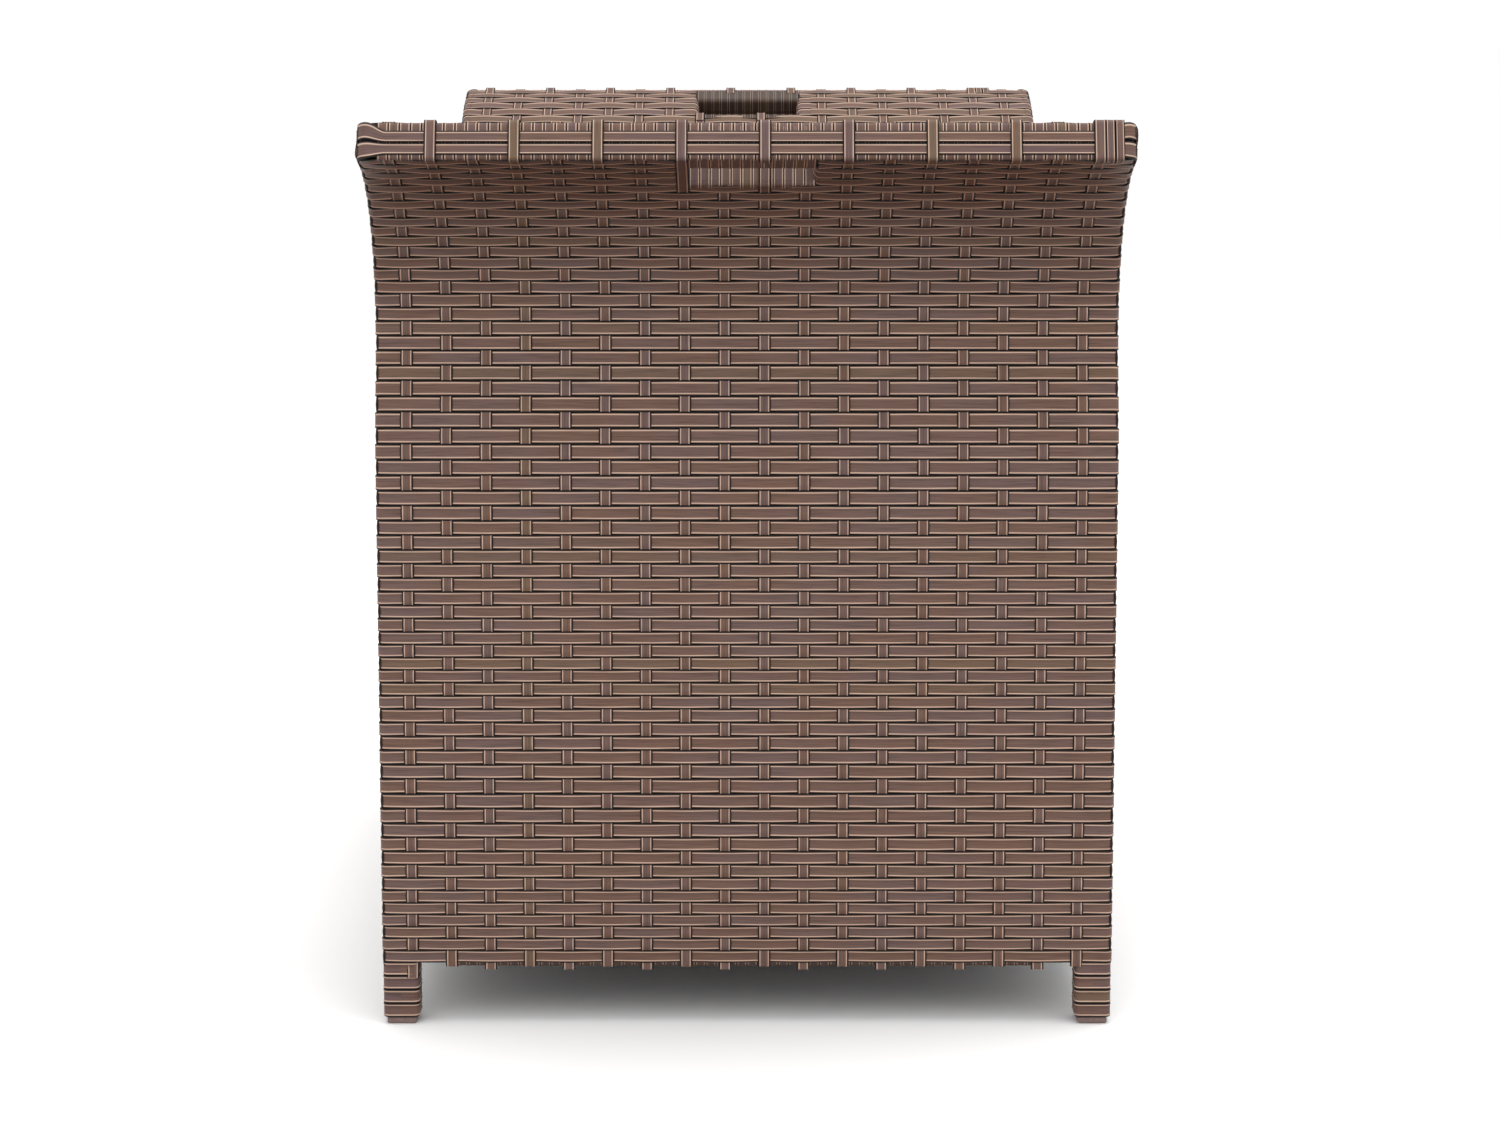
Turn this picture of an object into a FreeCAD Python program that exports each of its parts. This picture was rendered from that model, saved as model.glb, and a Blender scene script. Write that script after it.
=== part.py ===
import FreeCAD, Part
import math
import os

import Sketcher

# Woven coffee table: two tall end panels that flare outwards at the top, a flat deck hung between
# them and a skirt down each long side, all woven round a frame of square steel tube.
# Millimetres. +Z is up, +Y runs along the table, and the origin is on the floor under its middle.
# The near end is the one at -Y. The far end is the same end turned half a turn about Z.

DRIVING_SIZES = {
    "overall_width": 500,  # across the flat walls, skin to skin
    "wall_half": 349,  # from the middle of the table to an end wall's outer face
    "tube": 20,  # square tube, side length
    "tube_wall": 1.2,
    "skin": 3,  # a woven face, strand over strand
    "gap": 0.3,  # between the tube and the skin round it
    "weave_bottom": 41,
    "foot_height": 5,
    "foot_stem": 15,
    "neck_start": 385,  # above this height an end panel leaves the vertical
    "lean_angle": 12,
    "lean_radius": 167,  # of the outer face, like the next two
    "lean_run": 32.6,
    "flare_radius": 117,
    "flare_angle": 72,
    "rim_run": 24.25,  # straight stretch of the outer face that ends at the rim
    "rim_width": 496,
    "deck_rail_middle": 378,
    "bottom_rail_middle": 53,
    "deck_bar_pitch": 160,
    "slot_width": 86,
    "slot_length": 26.4,  # along the slope of the panel
    "slot_lining": 1.6,
    "slot_depth": 17,
    "slot_slope": 66,  # the slot's own angle from the vertical
    "slot_inner_angle": 59,  # where on the flare the slot ends
    "slot_outer_angle": 71,  # where on the flare the slot starts
    "rod": 8,
    "rod_bend": 7,
    "rod_room": 1,  # between the slot's lining and the rod round it
    "leg_wrap": 1.4,
    "wrap_gap": 0.2,
    "bottom_wrap": 1.4,
    "glass_length": 610,
    "glass_width": 470,
    "glass_thick": 5,
    "glass_corner": 15,
    "glass_edge": 0.8,
    "bumper": 10,
    "bumper_thick": 3,
    "bracket_leg": 28,
    "bracket_thick": 3,
    "bracket_tall": 16,
    "bolt": 6,
    "bolt_length": 16,
    "bolt_head": 10,
    "bolt_head_thick": 4,
    "bolt_hole": 6.6,
    "bolt_from_corner": 18,
    "washer": 12,
    "washer_thick": 1.2,
    "nut_body": 9,
    "nut_collar": 12,
    "nut_collar_thick": 2,
    "nut_length": 13,
}

SLACK = 0.05  # radial room between a rivet nut, its hole and its bolt

doc = FreeCAD.newDocument("wicker_coffee_table")
sheet = doc.addObject("Spreadsheet::Sheet", "sizes")
for row, (word, number) in enumerate(DRIVING_SIZES.items(), start=1):
    sheet.set(f"A{row}", word)
    sheet.set(f"B{row}", str(number))
    sheet.setAlias(f"B{row}", word)
doc.recompute()

# Sizes that follow from the driving ones, as expressions on the sheet.
MID_DEPTH = "(sizes.skin + sizes.gap + sizes.tube / 2)"  # outer face to the tubes' centre line
PANEL = "(2 * sizes.skin + 2 * sizes.gap + sizes.tube)"  # thickness of an end panel
POST_X = f"(sizes.overall_width / 2 - {MID_DEPTH})"
POST_Y = f"(sizes.wall_half - {MID_DEPTH})"
BETWEEN_POSTS_X = f"(2 * {POST_X} - sizes.tube)"
BETWEEN_POSTS_Y = f"(2 * {POST_Y} - sizes.tube)"
DECK_TOP = "(sizes.deck_rail_middle + sizes.tube / 2 + sizes.gap + sizes.skin)"
DECK_HALF_LENGTH = f"(sizes.wall_half - {PANEL} - sizes.gap)"


def size(expression):
    """The number that an expression on the sheet comes to."""
    found = sheet.evalExpression(expression)
    return float(getattr(found, "Value", found))


def circle_step(centre, radius, degrees):
    """The point at an angle on a circle in a sketch's plane."""
    turn = math.radians(degrees)
    return centre + FreeCAD.Vector(math.cos(turn), math.sin(turn), 0) * radius


# The middle line of an end panel, from the floor up, in the plane across the table's width.
# Outwards is -Y, so a heading of 90 degrees is up and more than 90 leans outwards.
LEAN_HEADING = 90 - size("sizes.lean_angle")
RIM_HEADING = 90 + size("sizes.flare_angle")
LEAN_BEND = size(f"sizes.lean_radius - {MID_DEPTH}")
FLARE_BEND = size(f"sizes.flare_radius + {MID_DEPTH}")
POST_RUN = size("sizes.rim_run - sizes.skin - sizes.gap - sizes.tube")
PANEL_RUN = size("sizes.rim_run - sizes.skin")
NECK_POINT = FreeCAD.Vector(-size(POST_Y), size("sizes.neck_start"), 0)
LEAN_CENTRE = NECK_POINT + FreeCAD.Vector(LEAN_BEND, 0, 0)
LEAN_POINT = circle_step(LEAN_CENTRE, LEAN_BEND, LEAN_HEADING + 90)
RISE_POINT = circle_step(LEAN_POINT, size("sizes.lean_run"), LEAN_HEADING)
FLARE_CENTRE = circle_step(RISE_POINT, FLARE_BEND, LEAN_HEADING + 90)
RIM_POINT = circle_step(FLARE_CENTRE, FLARE_BEND, RIM_HEADING - 90)


def panel_point(flare_degrees, past=0.0, off=0.0):
    """(y, z) on the flare: an angle from the vertical, a distance on past it and one outwards."""
    heading = 90 + flare_degrees
    point = circle_step(FLARE_CENTRE, FLARE_BEND - off, heading - 90)
    point = circle_step(point, past, heading)
    return point.x, point.y


def new_body(label):
    body = doc.addObject("PartDesign::Body", label)
    body.Label = label
    return body


def new_sketch(body, name, role, lift=None):
    """A sketch on one of the body's own origin planes, lifted off it by an expression."""
    sketch = body.newObject("Sketcher::SketchObject", name)
    plane = [found for found in body.Origin.OriginFeatures if found.Role == role][0]
    sketch.AttachmentSupport = [(plane, "")]
    sketch.MapMode = "FlatFace"
    if lift:
        sketch.setExpression("AttachmentOffset.Base.z", lift)
    return sketch


def limit(sketch, expression, *words):
    """Adds a driving constraint whose value is bound to the sheet."""
    amount = size(expression)
    if words[0] == "Angle":
        amount = math.radians(amount)
    index = sketch.addConstraint(Sketcher.Constraint(*words, amount))
    unit = " * 1 deg" if words[0] == "Angle" else " * 1 mm"
    sketch.setExpression(f"Constraints[{index}]", f"({expression}){unit}")


def outline(sketch, corners):
    """A closed outline of straight lines through corners given as pairs of expressions."""
    points = [FreeCAD.Vector(size(along), size(up), 0) for along, up in corners]
    first = sketch.GeometryCount
    count = len(corners)
    for index in range(count):
        sketch.addGeometry(Part.LineSegment(points[index], points[(index + 1) % count]), False)
    for index in range(count):
        line = first + index
        after = first + (index + 1) % count
        sketch.addConstraint(Sketcher.Constraint("Coincident", line, 2, after, 1))
        limit(sketch, corners[index][0], "DistanceX", -1, 1, line, 1)
        limit(sketch, corners[index][1], "DistanceY", -1, 1, line, 1)


def rectangle(sketch, left, low, right, high):
    outline(sketch, [(left, low), (right, low), (right, high), (left, high)])


def square(sketch, side, middle_x="0", middle_y="0"):
    half = f"({side}) / 2"
    rectangle(
        sketch,
        f"{middle_x} - {half}",
        f"{middle_y} - {half}",
        f"{middle_x} + {half}",
        f"{middle_y} + {half}",
    )


def ring(sketch, diameter, middle_x="0", middle_y="0"):
    centre = FreeCAD.Vector(size(middle_x), size(middle_y), 0)
    index = sketch.addGeometry(
        Part.Circle(centre, FreeCAD.Vector(0, 0, 1), size(diameter) / 2), False
    )
    limit(sketch, middle_x, "DistanceX", -1, 1, index, 3)
    limit(sketch, middle_y, "DistanceY", -1, 1, index, 3)
    limit(sketch, diameter, "Diameter", index)


def tube_section(sketch, middle_x="0", middle_y="0"):
    square(sketch, "sizes.tube", middle_x, middle_y)
    square(sketch, "sizes.tube - 2 * sizes.tube_wall", middle_x, middle_y)


def pad(body, sketch, length, symmetric=False, name="pad"):
    feature = body.newObject("PartDesign::Pad", name)
    feature.Profile = sketch
    if symmetric:
        feature.SideType = "Symmetric"
    feature.setExpression("Length", length)
    return feature


def pocket(body, sketch, length=None, upwards=False, symmetric=False, name="pocket"):
    """Cuts through everything, or to a length, and stops if nothing was cut."""
    doc.recompute()
    before = body.Shape.Volume
    feature = body.newObject("PartDesign::Pocket", name)
    feature.Profile = sketch
    feature.Reversed = upwards
    if symmetric:
        feature.SideType = "Symmetric"
    if length:
        feature.setExpression("Length", length)
    else:
        feature.Type = "ThroughAll"
    doc.recompute()
    if body.Shape.Volume > before - 1e-3:
        raise RuntimeError(f"{body.Label}: {name} cut nothing")
    return feature


def place(body, x="0", y="0", z="0", axis=(0, 0, 1), degrees=0.0):
    body.Placement = FreeCAD.Placement(
        FreeCAD.Vector(size(x), size(y), size(z)),
        FreeCAD.Rotation(FreeCAD.Vector(*axis), degrees),
    )
    body.setExpression("Placement.Base.x", x)
    body.setExpression("Placement.Base.y", y)
    body.setExpression("Placement.Base.z", z)


def panel_path(body, start, run):
    """The sketch of an end panel's middle line, from a height up to a run past the flare."""
    sketch = new_sketch(body, "path", "YZ_Plane")
    foot = FreeCAD.Vector(-size(POST_Y), size(start), 0)
    tip = circle_step(RIM_POINT, size(run), RIM_HEADING)
    upright = FreeCAD.Vector(0, 0, 1)
    lean = Part.ArcOfCircle(
        Part.Circle(LEAN_CENTRE, upright, LEAN_BEND),
        math.radians(LEAN_HEADING + 90),
        math.radians(180),
    )
    flare = Part.ArcOfCircle(
        Part.Circle(FLARE_CENTRE, upright, FLARE_BEND),
        math.radians(LEAN_HEADING - 90),
        math.radians(RIM_HEADING - 90),
    )
    sketch.addGeometry(Part.LineSegment(foot, NECK_POINT), False)
    sketch.addGeometry(lean, False)
    sketch.addGeometry(Part.LineSegment(LEAN_POINT, RISE_POINT), False)
    sketch.addGeometry(flare, False)
    sketch.addGeometry(Part.LineSegment(RIM_POINT, tip), False)
    for joint in ((0, 2, 1, 2), (1, 1, 2, 1), (2, 2, 3, 1), (3, 2, 4, 1)):
        sketch.addConstraint(Sketcher.Constraint("Tangent", *joint))
    sketch.addConstraint(Sketcher.Constraint("Vertical", 0))
    limit(sketch, f"-{POST_Y}", "DistanceX", -1, 1, 0, 1)
    limit(sketch, start, "DistanceY", -1, 1, 0, 1)
    limit(sketch, "sizes.neck_start", "DistanceY", -1, 1, 0, 2)
    limit(sketch, f"sizes.lean_radius - {MID_DEPTH}", "Radius", 1)
    limit(sketch, "90 - sizes.lean_angle", "Angle", 2)
    limit(sketch, "sizes.lean_run", "Distance", 2)
    limit(sketch, f"sizes.flare_radius + {MID_DEPTH}", "Radius", 3)
    limit(sketch, "90 + sizes.flare_angle", "Angle", 4)
    limit(sketch, run, "Distance", 4)
    return sketch


def swept(body, section, path):
    feature = body.newObject("PartDesign::AdditivePipe", "pipe")
    feature.Profile = section
    feature.Spine = (path, [])
    feature.Mode = "Standard"
    return feature


def turn_to_end(body, end):
    """Leaves a near-end piece where it is, or turns it half a turn about Z for the far end."""
    if end == "far":
        body.Placement = FreeCAD.Placement(
            FreeCAD.Vector(0, 0, 0), FreeCAD.Rotation(FreeCAD.Vector(0, 0, 1), 180)
        ).multiply(body.Placement)


def side_sign(end, side):
    """-1 if the piece is drawn at -X. The far end is turned, so its left post is drawn at +X."""
    drawn_left = (side == "left") == (end == "near")
    return "-1" if drawn_left else "1"


# ---- End frames --------------------------------------------------------------------------------


def make_post(end, side):
    """One square tube bent to the panel's line: the leg, the corner and the arm of the flare."""
    body = new_body(f"{end}_{side}_post")
    section = new_sketch(body, "section", "XY_Plane", "sizes.foot_height")
    tube_section(section, f"{side_sign(end, side)} * {POST_X}", f"-{POST_Y}")
    path = panel_path(
        body, "sizes.foot_height", "sizes.rim_run - sizes.skin - sizes.gap - sizes.tube"
    )
    swept(body, section, path)
    turn_to_end(body, end)
    return body


def make_cross_tube(label, end, length, heading, y, z, holes=False):
    """A straight square tube across the width, turned to a heading about X."""
    body = new_body(label)
    section = new_sketch(body, "section", "YZ_Plane")
    tube_section(section)
    pad(body, section, length, symmetric=True)
    if holes:
        inner = new_sketch(body, "nut_holes", "XZ_Plane")
        for sign in ("-1", "1"):
            reach = f"({BETWEEN_POSTS_X} / 2 - sizes.bolt_from_corner)"
            ring(inner, "sizes.nut_body", f"{sign} * {reach}", "0")
        pocket(body, inner, "sizes.tube", name="nut_holes_cut")
    body.Placement = FreeCAD.Placement(
        FreeCAD.Vector(0, y, z), FreeCAD.Rotation(FreeCAD.Vector(1, 0, 0), heading)
    )
    turn_to_end(body, end)
    return body


def make_rim_rail(end):
    y, z = panel_point(size("sizes.flare_angle"), POST_RUN + size("sizes.tube / 2"))
    length = "(sizes.overall_width - 2 * sizes.skin - 2 * sizes.gap)"
    return make_cross_tube(f"{end}_rim_rail", end, length, size("sizes.flare_angle"), y, z)


def make_end_rail(end, name, middle):
    return make_cross_tube(
        f"{end}_{name}", end, BETWEEN_POSTS_X, 0, -size(POST_Y), size(middle), holes=True
    )


def slot_centre():
    """(y, z) of the middle of the hand slot, on the panel's middle line."""
    middle = size("(sizes.slot_inner_angle + sizes.slot_outer_angle) / 2 + 0.2")
    return panel_point(middle)


def tilt_to_slot(body, end):
    """Lays a piece drawn flat in XY on the flare: its +Y points down the slope, to the deck."""
    y, z = slot_centre()
    slope = size("sizes.slot_slope")
    body.Placement = FreeCAD.Placement(
        FreeCAD.Vector(0, y, z), FreeCAD.Rotation(FreeCAD.Vector(1, 0, 0), slope - 90)
    )
    turn_to_end(body, end)


def make_slot_loop(end):
    """A U of round rod under the rim rail that holds the weave open for the hand slot."""
    body = new_body(f"{end}_slot_loop")
    around = "sizes.slot_lining + sizes.rod_room + sizes.rod / 2"
    reach = f"(sizes.slot_width / 2 + {around})"
    low = f"(sizes.slot_length / 2 + {around})"
    top = "(-sizes.slot_length / 2 - sizes.slot_lining - sizes.rod_room / 2)"
    path = new_sketch(body, "path", "XY_Plane")
    bend = size("sizes.rod_bend")
    wide = size(reach)
    deep = size(low)
    start = size(top)
    turn_y = deep - bend
    upright = FreeCAD.Vector(0, 0, 1)

    def corner(sign, first, last):
        centre = FreeCAD.Vector(sign * (wide - bend), turn_y, 0)
        return Part.ArcOfCircle(
            Part.Circle(centre, upright, bend), math.radians(first), math.radians(last)
        )

    def line(x_0, y_0, x_1, y_1):
        return Part.LineSegment(FreeCAD.Vector(x_0, y_0, 0), FreeCAD.Vector(x_1, y_1, 0))

    path.addGeometry(line(-wide, start, -wide, turn_y), False)
    path.addGeometry(corner(-1, 90, 180), False)
    path.addGeometry(line(bend - wide, deep, wide - bend, deep), False)
    path.addGeometry(corner(1, 0, 90), False)
    path.addGeometry(line(wide, turn_y, wide, start), False)
    for joint in ((0, 2, 1, 2), (1, 1, 2, 1), (2, 2, 3, 2), (3, 1, 4, 1)):
        path.addConstraint(Sketcher.Constraint("Tangent", *joint))
    path.addConstraint(Sketcher.Constraint("Vertical", 0))
    path.addConstraint(Sketcher.Constraint("Horizontal", 2))
    path.addConstraint(Sketcher.Constraint("Vertical", 4))
    path.addConstraint(Sketcher.Constraint("Equal", 1, 3))
    limit(path, "sizes.rod_bend", "Radius", 1)
    limit(path, f"-{reach}", "DistanceX", -1, 1, 0, 1)
    limit(path, reach, "DistanceX", -1, 1, 4, 2)
    limit(path, top, "DistanceY", -1, 1, 0, 1)
    limit(path, top, "DistanceY", -1, 1, 4, 2)
    limit(path, low, "DistanceY", -1, 1, 2, 1)
    section = new_sketch(body, "section", "XZ_Plane", f"-{top}")
    ring(section, "sizes.rod", f"-{reach}", "0")
    swept(body, section, path)
    tilt_to_slot(body, end)
    return body


# ---- Side and deck frame -----------------------------------------------------------------------


def make_side_rail(side, name, middle):
    """A long rail between the near and far posts, with two rivet-nut holes in its inner face."""
    sign = "-1" if side == "left" else "1"
    body = new_body(f"{side}_{name}")
    section = new_sketch(body, "section", "XZ_Plane")
    tube_section(section)
    pad(body, section, BETWEEN_POSTS_Y, symmetric=True)
    holes = new_sketch(body, "nut_holes", "YZ_Plane")
    for end in ("-1", "1"):
        reach = f"({BETWEEN_POSTS_Y} / 2 - sizes.bolt_from_corner)"
        ring(holes, "sizes.nut_body", f"{end} * {reach}", "0")
    pocket(body, holes, "sizes.tube", upwards=side == "left", name="nut_holes_cut")
    place(body, f"{sign} * {POST_X}", "0", middle)
    return body


def make_mid_upright(side):
    sign = "-1" if side == "left" else "1"
    body = new_body(f"{side}_mid_upright")
    section = new_sketch(body, "section", "XY_Plane")
    tube_section(section)
    pad(body, section, "sizes.deck_rail_middle - sizes.bottom_rail_middle - sizes.tube")
    place(body, f"{sign} * {POST_X}", "0", "sizes.bottom_rail_middle + sizes.tube / 2")
    return body


def make_deck_bar(number):
    body = new_body(f"deck_bar_{number}")
    section = new_sketch(body, "section", "YZ_Plane")
    tube_section(section)
    pad(body, section, BETWEEN_POSTS_X, symmetric=True)
    place(body, "0", f"{number - 2} * sizes.deck_bar_pitch", "sizes.deck_rail_middle")
    return body


# ---- Feet --------------------------------------------------------------------------------------


def make_foot_plug(end, side):
    """A plastic plug: a pad the size of the tube on the floor and a stem pushed up inside it."""
    body = new_body(f"{end}_{side}_foot_plug")
    pad_sketch = new_sketch(body, "pad_outline", "XY_Plane")
    square(pad_sketch, "sizes.tube")
    pad(body, pad_sketch, "sizes.foot_height")
    stem_sketch = new_sketch(body, "stem_outline", "XY_Plane")
    square(stem_sketch, "sizes.tube - 2 * sizes.tube_wall - 0.1")
    pad(body, stem_sketch, "sizes.foot_height + sizes.foot_stem", name="stem")
    along = "-1" if end == "near" else "1"
    across = "-1" if side == "left" else "1"
    place(body, f"{across} * {POST_X}", f"{along} * {POST_Y}", "0")
    return body


def make_leg_wrap(end, side):
    """The strand wound round the bare leg between its foot and the bottom of the weave."""
    body = new_body(f"{end}_{side}_leg_wrap")
    section = new_sketch(body, "section", "XY_Plane")
    square(section, "sizes.tube + 2 * sizes.wrap_gap + 2 * sizes.leg_wrap")
    square(section, "sizes.tube + 2 * sizes.wrap_gap")
    pad(body, section, "sizes.weave_bottom - sizes.foot_height - 2 * sizes.gap")
    along = "-1" if end == "near" else "1"
    across = "-1" if side == "left" else "1"
    low = "sizes.foot_height + sizes.gap"
    place(body, f"{across} * {POST_X}", f"{along} * {POST_Y}", low)
    return body


# ---- Woven covers ------------------------------------------------------------------------------


def cut_slot_window(body, off):
    """Cuts the hand slot through one woven face of the flare, straight up and down."""
    outer_y = panel_point(size("sizes.slot_outer_angle"), off=off)[0]
    inner_y = panel_point(size("sizes.slot_inner_angle"), off=off)[0]
    window = new_sketch(body, "slot_window", "XY_Plane", "sizes.neck_start")
    rectangle(
        window,
        "-sizes.slot_width / 2",
        f"({outer_y})",
        "sizes.slot_width / 2",
        f"({inner_y})",
    )
    pocket(body, window, upwards=True, name="slot_window_cut")


def make_outer_weave(end):
    """The woven outer face of an end, turned round both posts to cover their sides."""
    body = new_body(f"{end}_outer_weave")
    section = new_sketch(body, "section", "XY_Plane", "sizes.weave_bottom")
    side = "sizes.overall_width / 2"
    lining = f"({side} - sizes.skin)"
    face = "-sizes.wall_half"
    back = f"({PANEL} - sizes.wall_half)"
    corners = [
        (f"-{side}", face),
        (side, face),
        (side, back),
        (lining, back),
        (lining, f"{face} + sizes.skin"),
        (f"-{lining}", f"{face} + sizes.skin"),
        (f"-{lining}", back),
        (f"-{side}", back),
    ]
    outline(section, corners)
    path = panel_path(body, "sizes.weave_bottom", "sizes.rim_run - sizes.skin")
    swept(body, section, path)
    cut_slot_window(body, size(f"{MID_DEPTH} - sizes.skin / 2"))
    turn_to_end(body, end)
    return body


def make_inner_weave(end):
    """The woven inner face of an end, from the top of the deck rail up to the rim."""
    body = new_body(f"{end}_inner_weave")
    low = "sizes.deck_rail_middle"
    section = new_sketch(body, "section", "XY_Plane", low)
    half = "(sizes.overall_width / 2 - sizes.skin - sizes.gap)"
    back = f"({PANEL} - sizes.wall_half)"
    rectangle(section, f"-{half}", f"{back} - sizes.skin", half, back)
    path = panel_path(body, low, "sizes.rim_run - sizes.skin")
    swept(body, section, path)
    trim = new_sketch(body, "trim", "XY_Plane", low)
    rectangle(trim, f"-{half}", f"{back} - 2 * sizes.skin", half, f"{back} + sizes.skin")
    pocket(body, trim, "sizes.tube / 2 + sizes.gap", upwards=True, name="trim_cut")
    cut_slot_window(body, -size(f"{MID_DEPTH} - sizes.skin / 2"))
    turn_to_end(body, end)
    return body


def make_rim_binding(end):
    """The bound edge that closes the two woven faces over the rim rail."""
    body = new_body(f"{end}_rim_binding")
    y, z = panel_point(size("sizes.flare_angle"), PANEL_RUN + size("sizes.skin / 2"))
    section = new_sketch(body, "section", "YZ_Plane")
    half = f"{PANEL} / 2"
    rectangle(section, f"-{half}", "-sizes.skin / 2", half, "sizes.skin / 2")
    pad(body, section, "sizes.rim_width", symmetric=True)
    body.Placement = FreeCAD.Placement(
        FreeCAD.Vector(0, y, z),
        FreeCAD.Rotation(FreeCAD.Vector(1, 0, 0), size("sizes.flare_angle")),
    )
    turn_to_end(body, end)
    return body


def make_slot_binding(end):
    """The wrapped lining of the hand slot: a flat ring as deep as the gap between the faces."""
    body = new_body(f"{end}_slot_binding")
    section = new_sketch(body, "section", "XY_Plane")
    for lining in ("sizes.slot_lining", "0"):
        wide = f"(sizes.slot_width / 2 + {lining})"
        deep = f"(sizes.slot_length / 2 + {lining})"
        rectangle(section, f"-{wide}", f"-{deep}", wide, deep)
    pad(body, section, "sizes.slot_depth", symmetric=True)
    tilt_to_slot(body, end)
    return body


def make_bottom_binding(label, length):
    """The strand wound under a bottom rail: an L along the rail's underside and inner face."""
    body = new_body(label)
    section = new_sketch(body, "section", "YZ_Plane")
    half = "(sizes.tube / 2)"
    inside = f"({half} + sizes.wrap_gap)"
    outside = f"({inside} + sizes.bottom_wrap)"
    corners = [
        (f"-{half}", f"-{inside}"),
        (f"-{half}", f"-{outside}"),
        (outside, f"-{outside}"),
        (outside, half),
        (inside, half),
        (inside, f"-{inside}"),
    ]
    outline(section, corners)
    pad(body, section, length, symmetric=True)
    return body


def make_end_bottom_binding(end):
    room = "2 * (sizes.bracket_leg + sizes.gap)"
    body = make_bottom_binding(f"{end}_bottom_binding", f"{BETWEEN_POSTS_X} - {room}")
    place(body, "0", f"-{POST_Y}", "sizes.bottom_rail_middle")
    if end == "far":
        place(body, "0", POST_Y, "sizes.bottom_rail_middle", degrees=180)
    return body


def make_side_bottom_binding(side):
    room = "2 * (sizes.bracket_leg + sizes.gap)"
    body = make_bottom_binding(f"{side}_bottom_binding", f"{BETWEEN_POSTS_Y} - {room}")
    sign, turn = ("-1", -90) if side == "left" else ("1", 90)
    place(body, f"{sign} * {POST_X}", "0", "sizes.bottom_rail_middle", degrees=turn)
    return body


def make_skirt(side):
    """The woven side of the table, from the bottom rail up to the deck."""
    sign = "-1" if side == "left" else "1"
    body = new_body(f"{side}_skirt_weave")
    section = new_sketch(body, "section", "XY_Plane")
    half = DECK_HALF_LENGTH
    rectangle(section, "-sizes.skin / 2", f"-{half}", "sizes.skin / 2", half)
    pad(body, section, f"{DECK_TOP} - sizes.skin - sizes.weave_bottom")
    x = f"{sign} * (sizes.overall_width - sizes.skin) / 2"
    place(body, x, "0", "sizes.weave_bottom")
    return body


def make_deck_weave():
    body = new_body("deck_weave")
    section = new_sketch(body, "section", "XY_Plane")
    half = "(sizes.overall_width / 2)"
    rectangle(section, f"-{half}", f"-{DECK_HALF_LENGTH}", half, DECK_HALF_LENGTH)
    pad(body, section, "sizes.skin")
    place(body, "0", "0", f"{DECK_TOP} - sizes.skin")
    return body


# ---- Glass top ---------------------------------------------------------------------------------


def make_glass_top():
    """The loose glass plate: it lies on the bumpers and lifts straight off."""
    body = new_body("glass_top")
    section = new_sketch(body, "section", "XY_Plane")
    wide = "(sizes.glass_width / 2)"
    long = "(sizes.glass_length / 2)"
    rectangle(section, f"-{wide}", f"-{long}", wide, long)
    slab = pad(body, section, "sizes.glass_thick")
    doc.recompute()
    corners = upright_edges(slab, size("sizes.glass_thick"))
    rounded = body.newObject("PartDesign::Fillet", "rounded_corners")
    rounded.Base = (slab, corners)
    rounded.setExpression("Radius", "sizes.glass_corner")
    doc.recompute()
    polished = body.newObject("PartDesign::Chamfer", "ground_edges")
    polished.Base = (rounded, ["Face" + str(top_face(rounded)), "Face" + str(bottom_face(rounded))])
    polished.setExpression("Size", "sizes.glass_edge")
    place(body, "0", "0", f"{DECK_TOP} + sizes.bumper_thick + sizes.gap")
    return body


def upright_edges(feature, height):
    """Names of the edges as long as a plate is thick."""
    edges = enumerate(feature.Shape.Edges, start=1)
    return [f"Edge{number}" for number, edge in edges if abs(edge.Length - height) < 1e-6]


def top_face(feature):
    heights = [face.CenterOfMass.z for face in feature.Shape.Faces]
    return heights.index(max(heights)) + 1


def bottom_face(feature):
    heights = [face.CenterOfMass.z for face in feature.Shape.Faces]
    return heights.index(min(heights)) + 1


# ---- Groups of small parts ---------------------------------------------------------------------


def make_disc(label, diameter, hole, height):
    body = new_body(label)
    section = new_sketch(body, "section", "XY_Plane")
    ring(section, diameter)
    if hole:
        ring(section, hole)
    pad(body, section, height)
    return body


def make_bolt_pattern_piece():
    """A hexagon-head bolt along Z, with the underside of its head at zero."""
    body = new_body("one_bolt")
    shank = new_sketch(body, "shank", "XY_Plane")
    ring(shank, "sizes.bolt")
    pad(body, shank, "sizes.bolt_length", name="shank_pad")
    head = new_sketch(body, "head", "XY_Plane")
    corner = size("sizes.bolt_head") / math.sqrt(3)
    turns = [math.radians(60 * step) for step in range(6)]
    outline(head, [(f"({corner * math.cos(t)})", f"({corner * math.sin(t)})") for t in turns])
    head_pad = pad(body, head, "sizes.bolt_head_thick", name="head_pad")
    head_pad.Reversed = True
    return body


def make_nut_pattern_piece():
    """A rivet nut along Z: flush with the tube's face at zero, its collar behind the wall."""
    body = new_body("one_rivet_nut")
    section = new_sketch(body, "section", "XY_Plane")
    ring(section, f"sizes.nut_body - {2 * SLACK}")
    ring(section, f"sizes.bolt + {2 * SLACK}")
    pad(body, section, "sizes.nut_length")
    collar = new_sketch(body, "collar", "XY_Plane", "sizes.tube_wall")
    ring(collar, "sizes.nut_collar")
    ring(collar, f"sizes.bolt + {2 * SLACK}")
    pad(body, collar, "sizes.nut_collar_thick", name="collar_pad")
    return body


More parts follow.
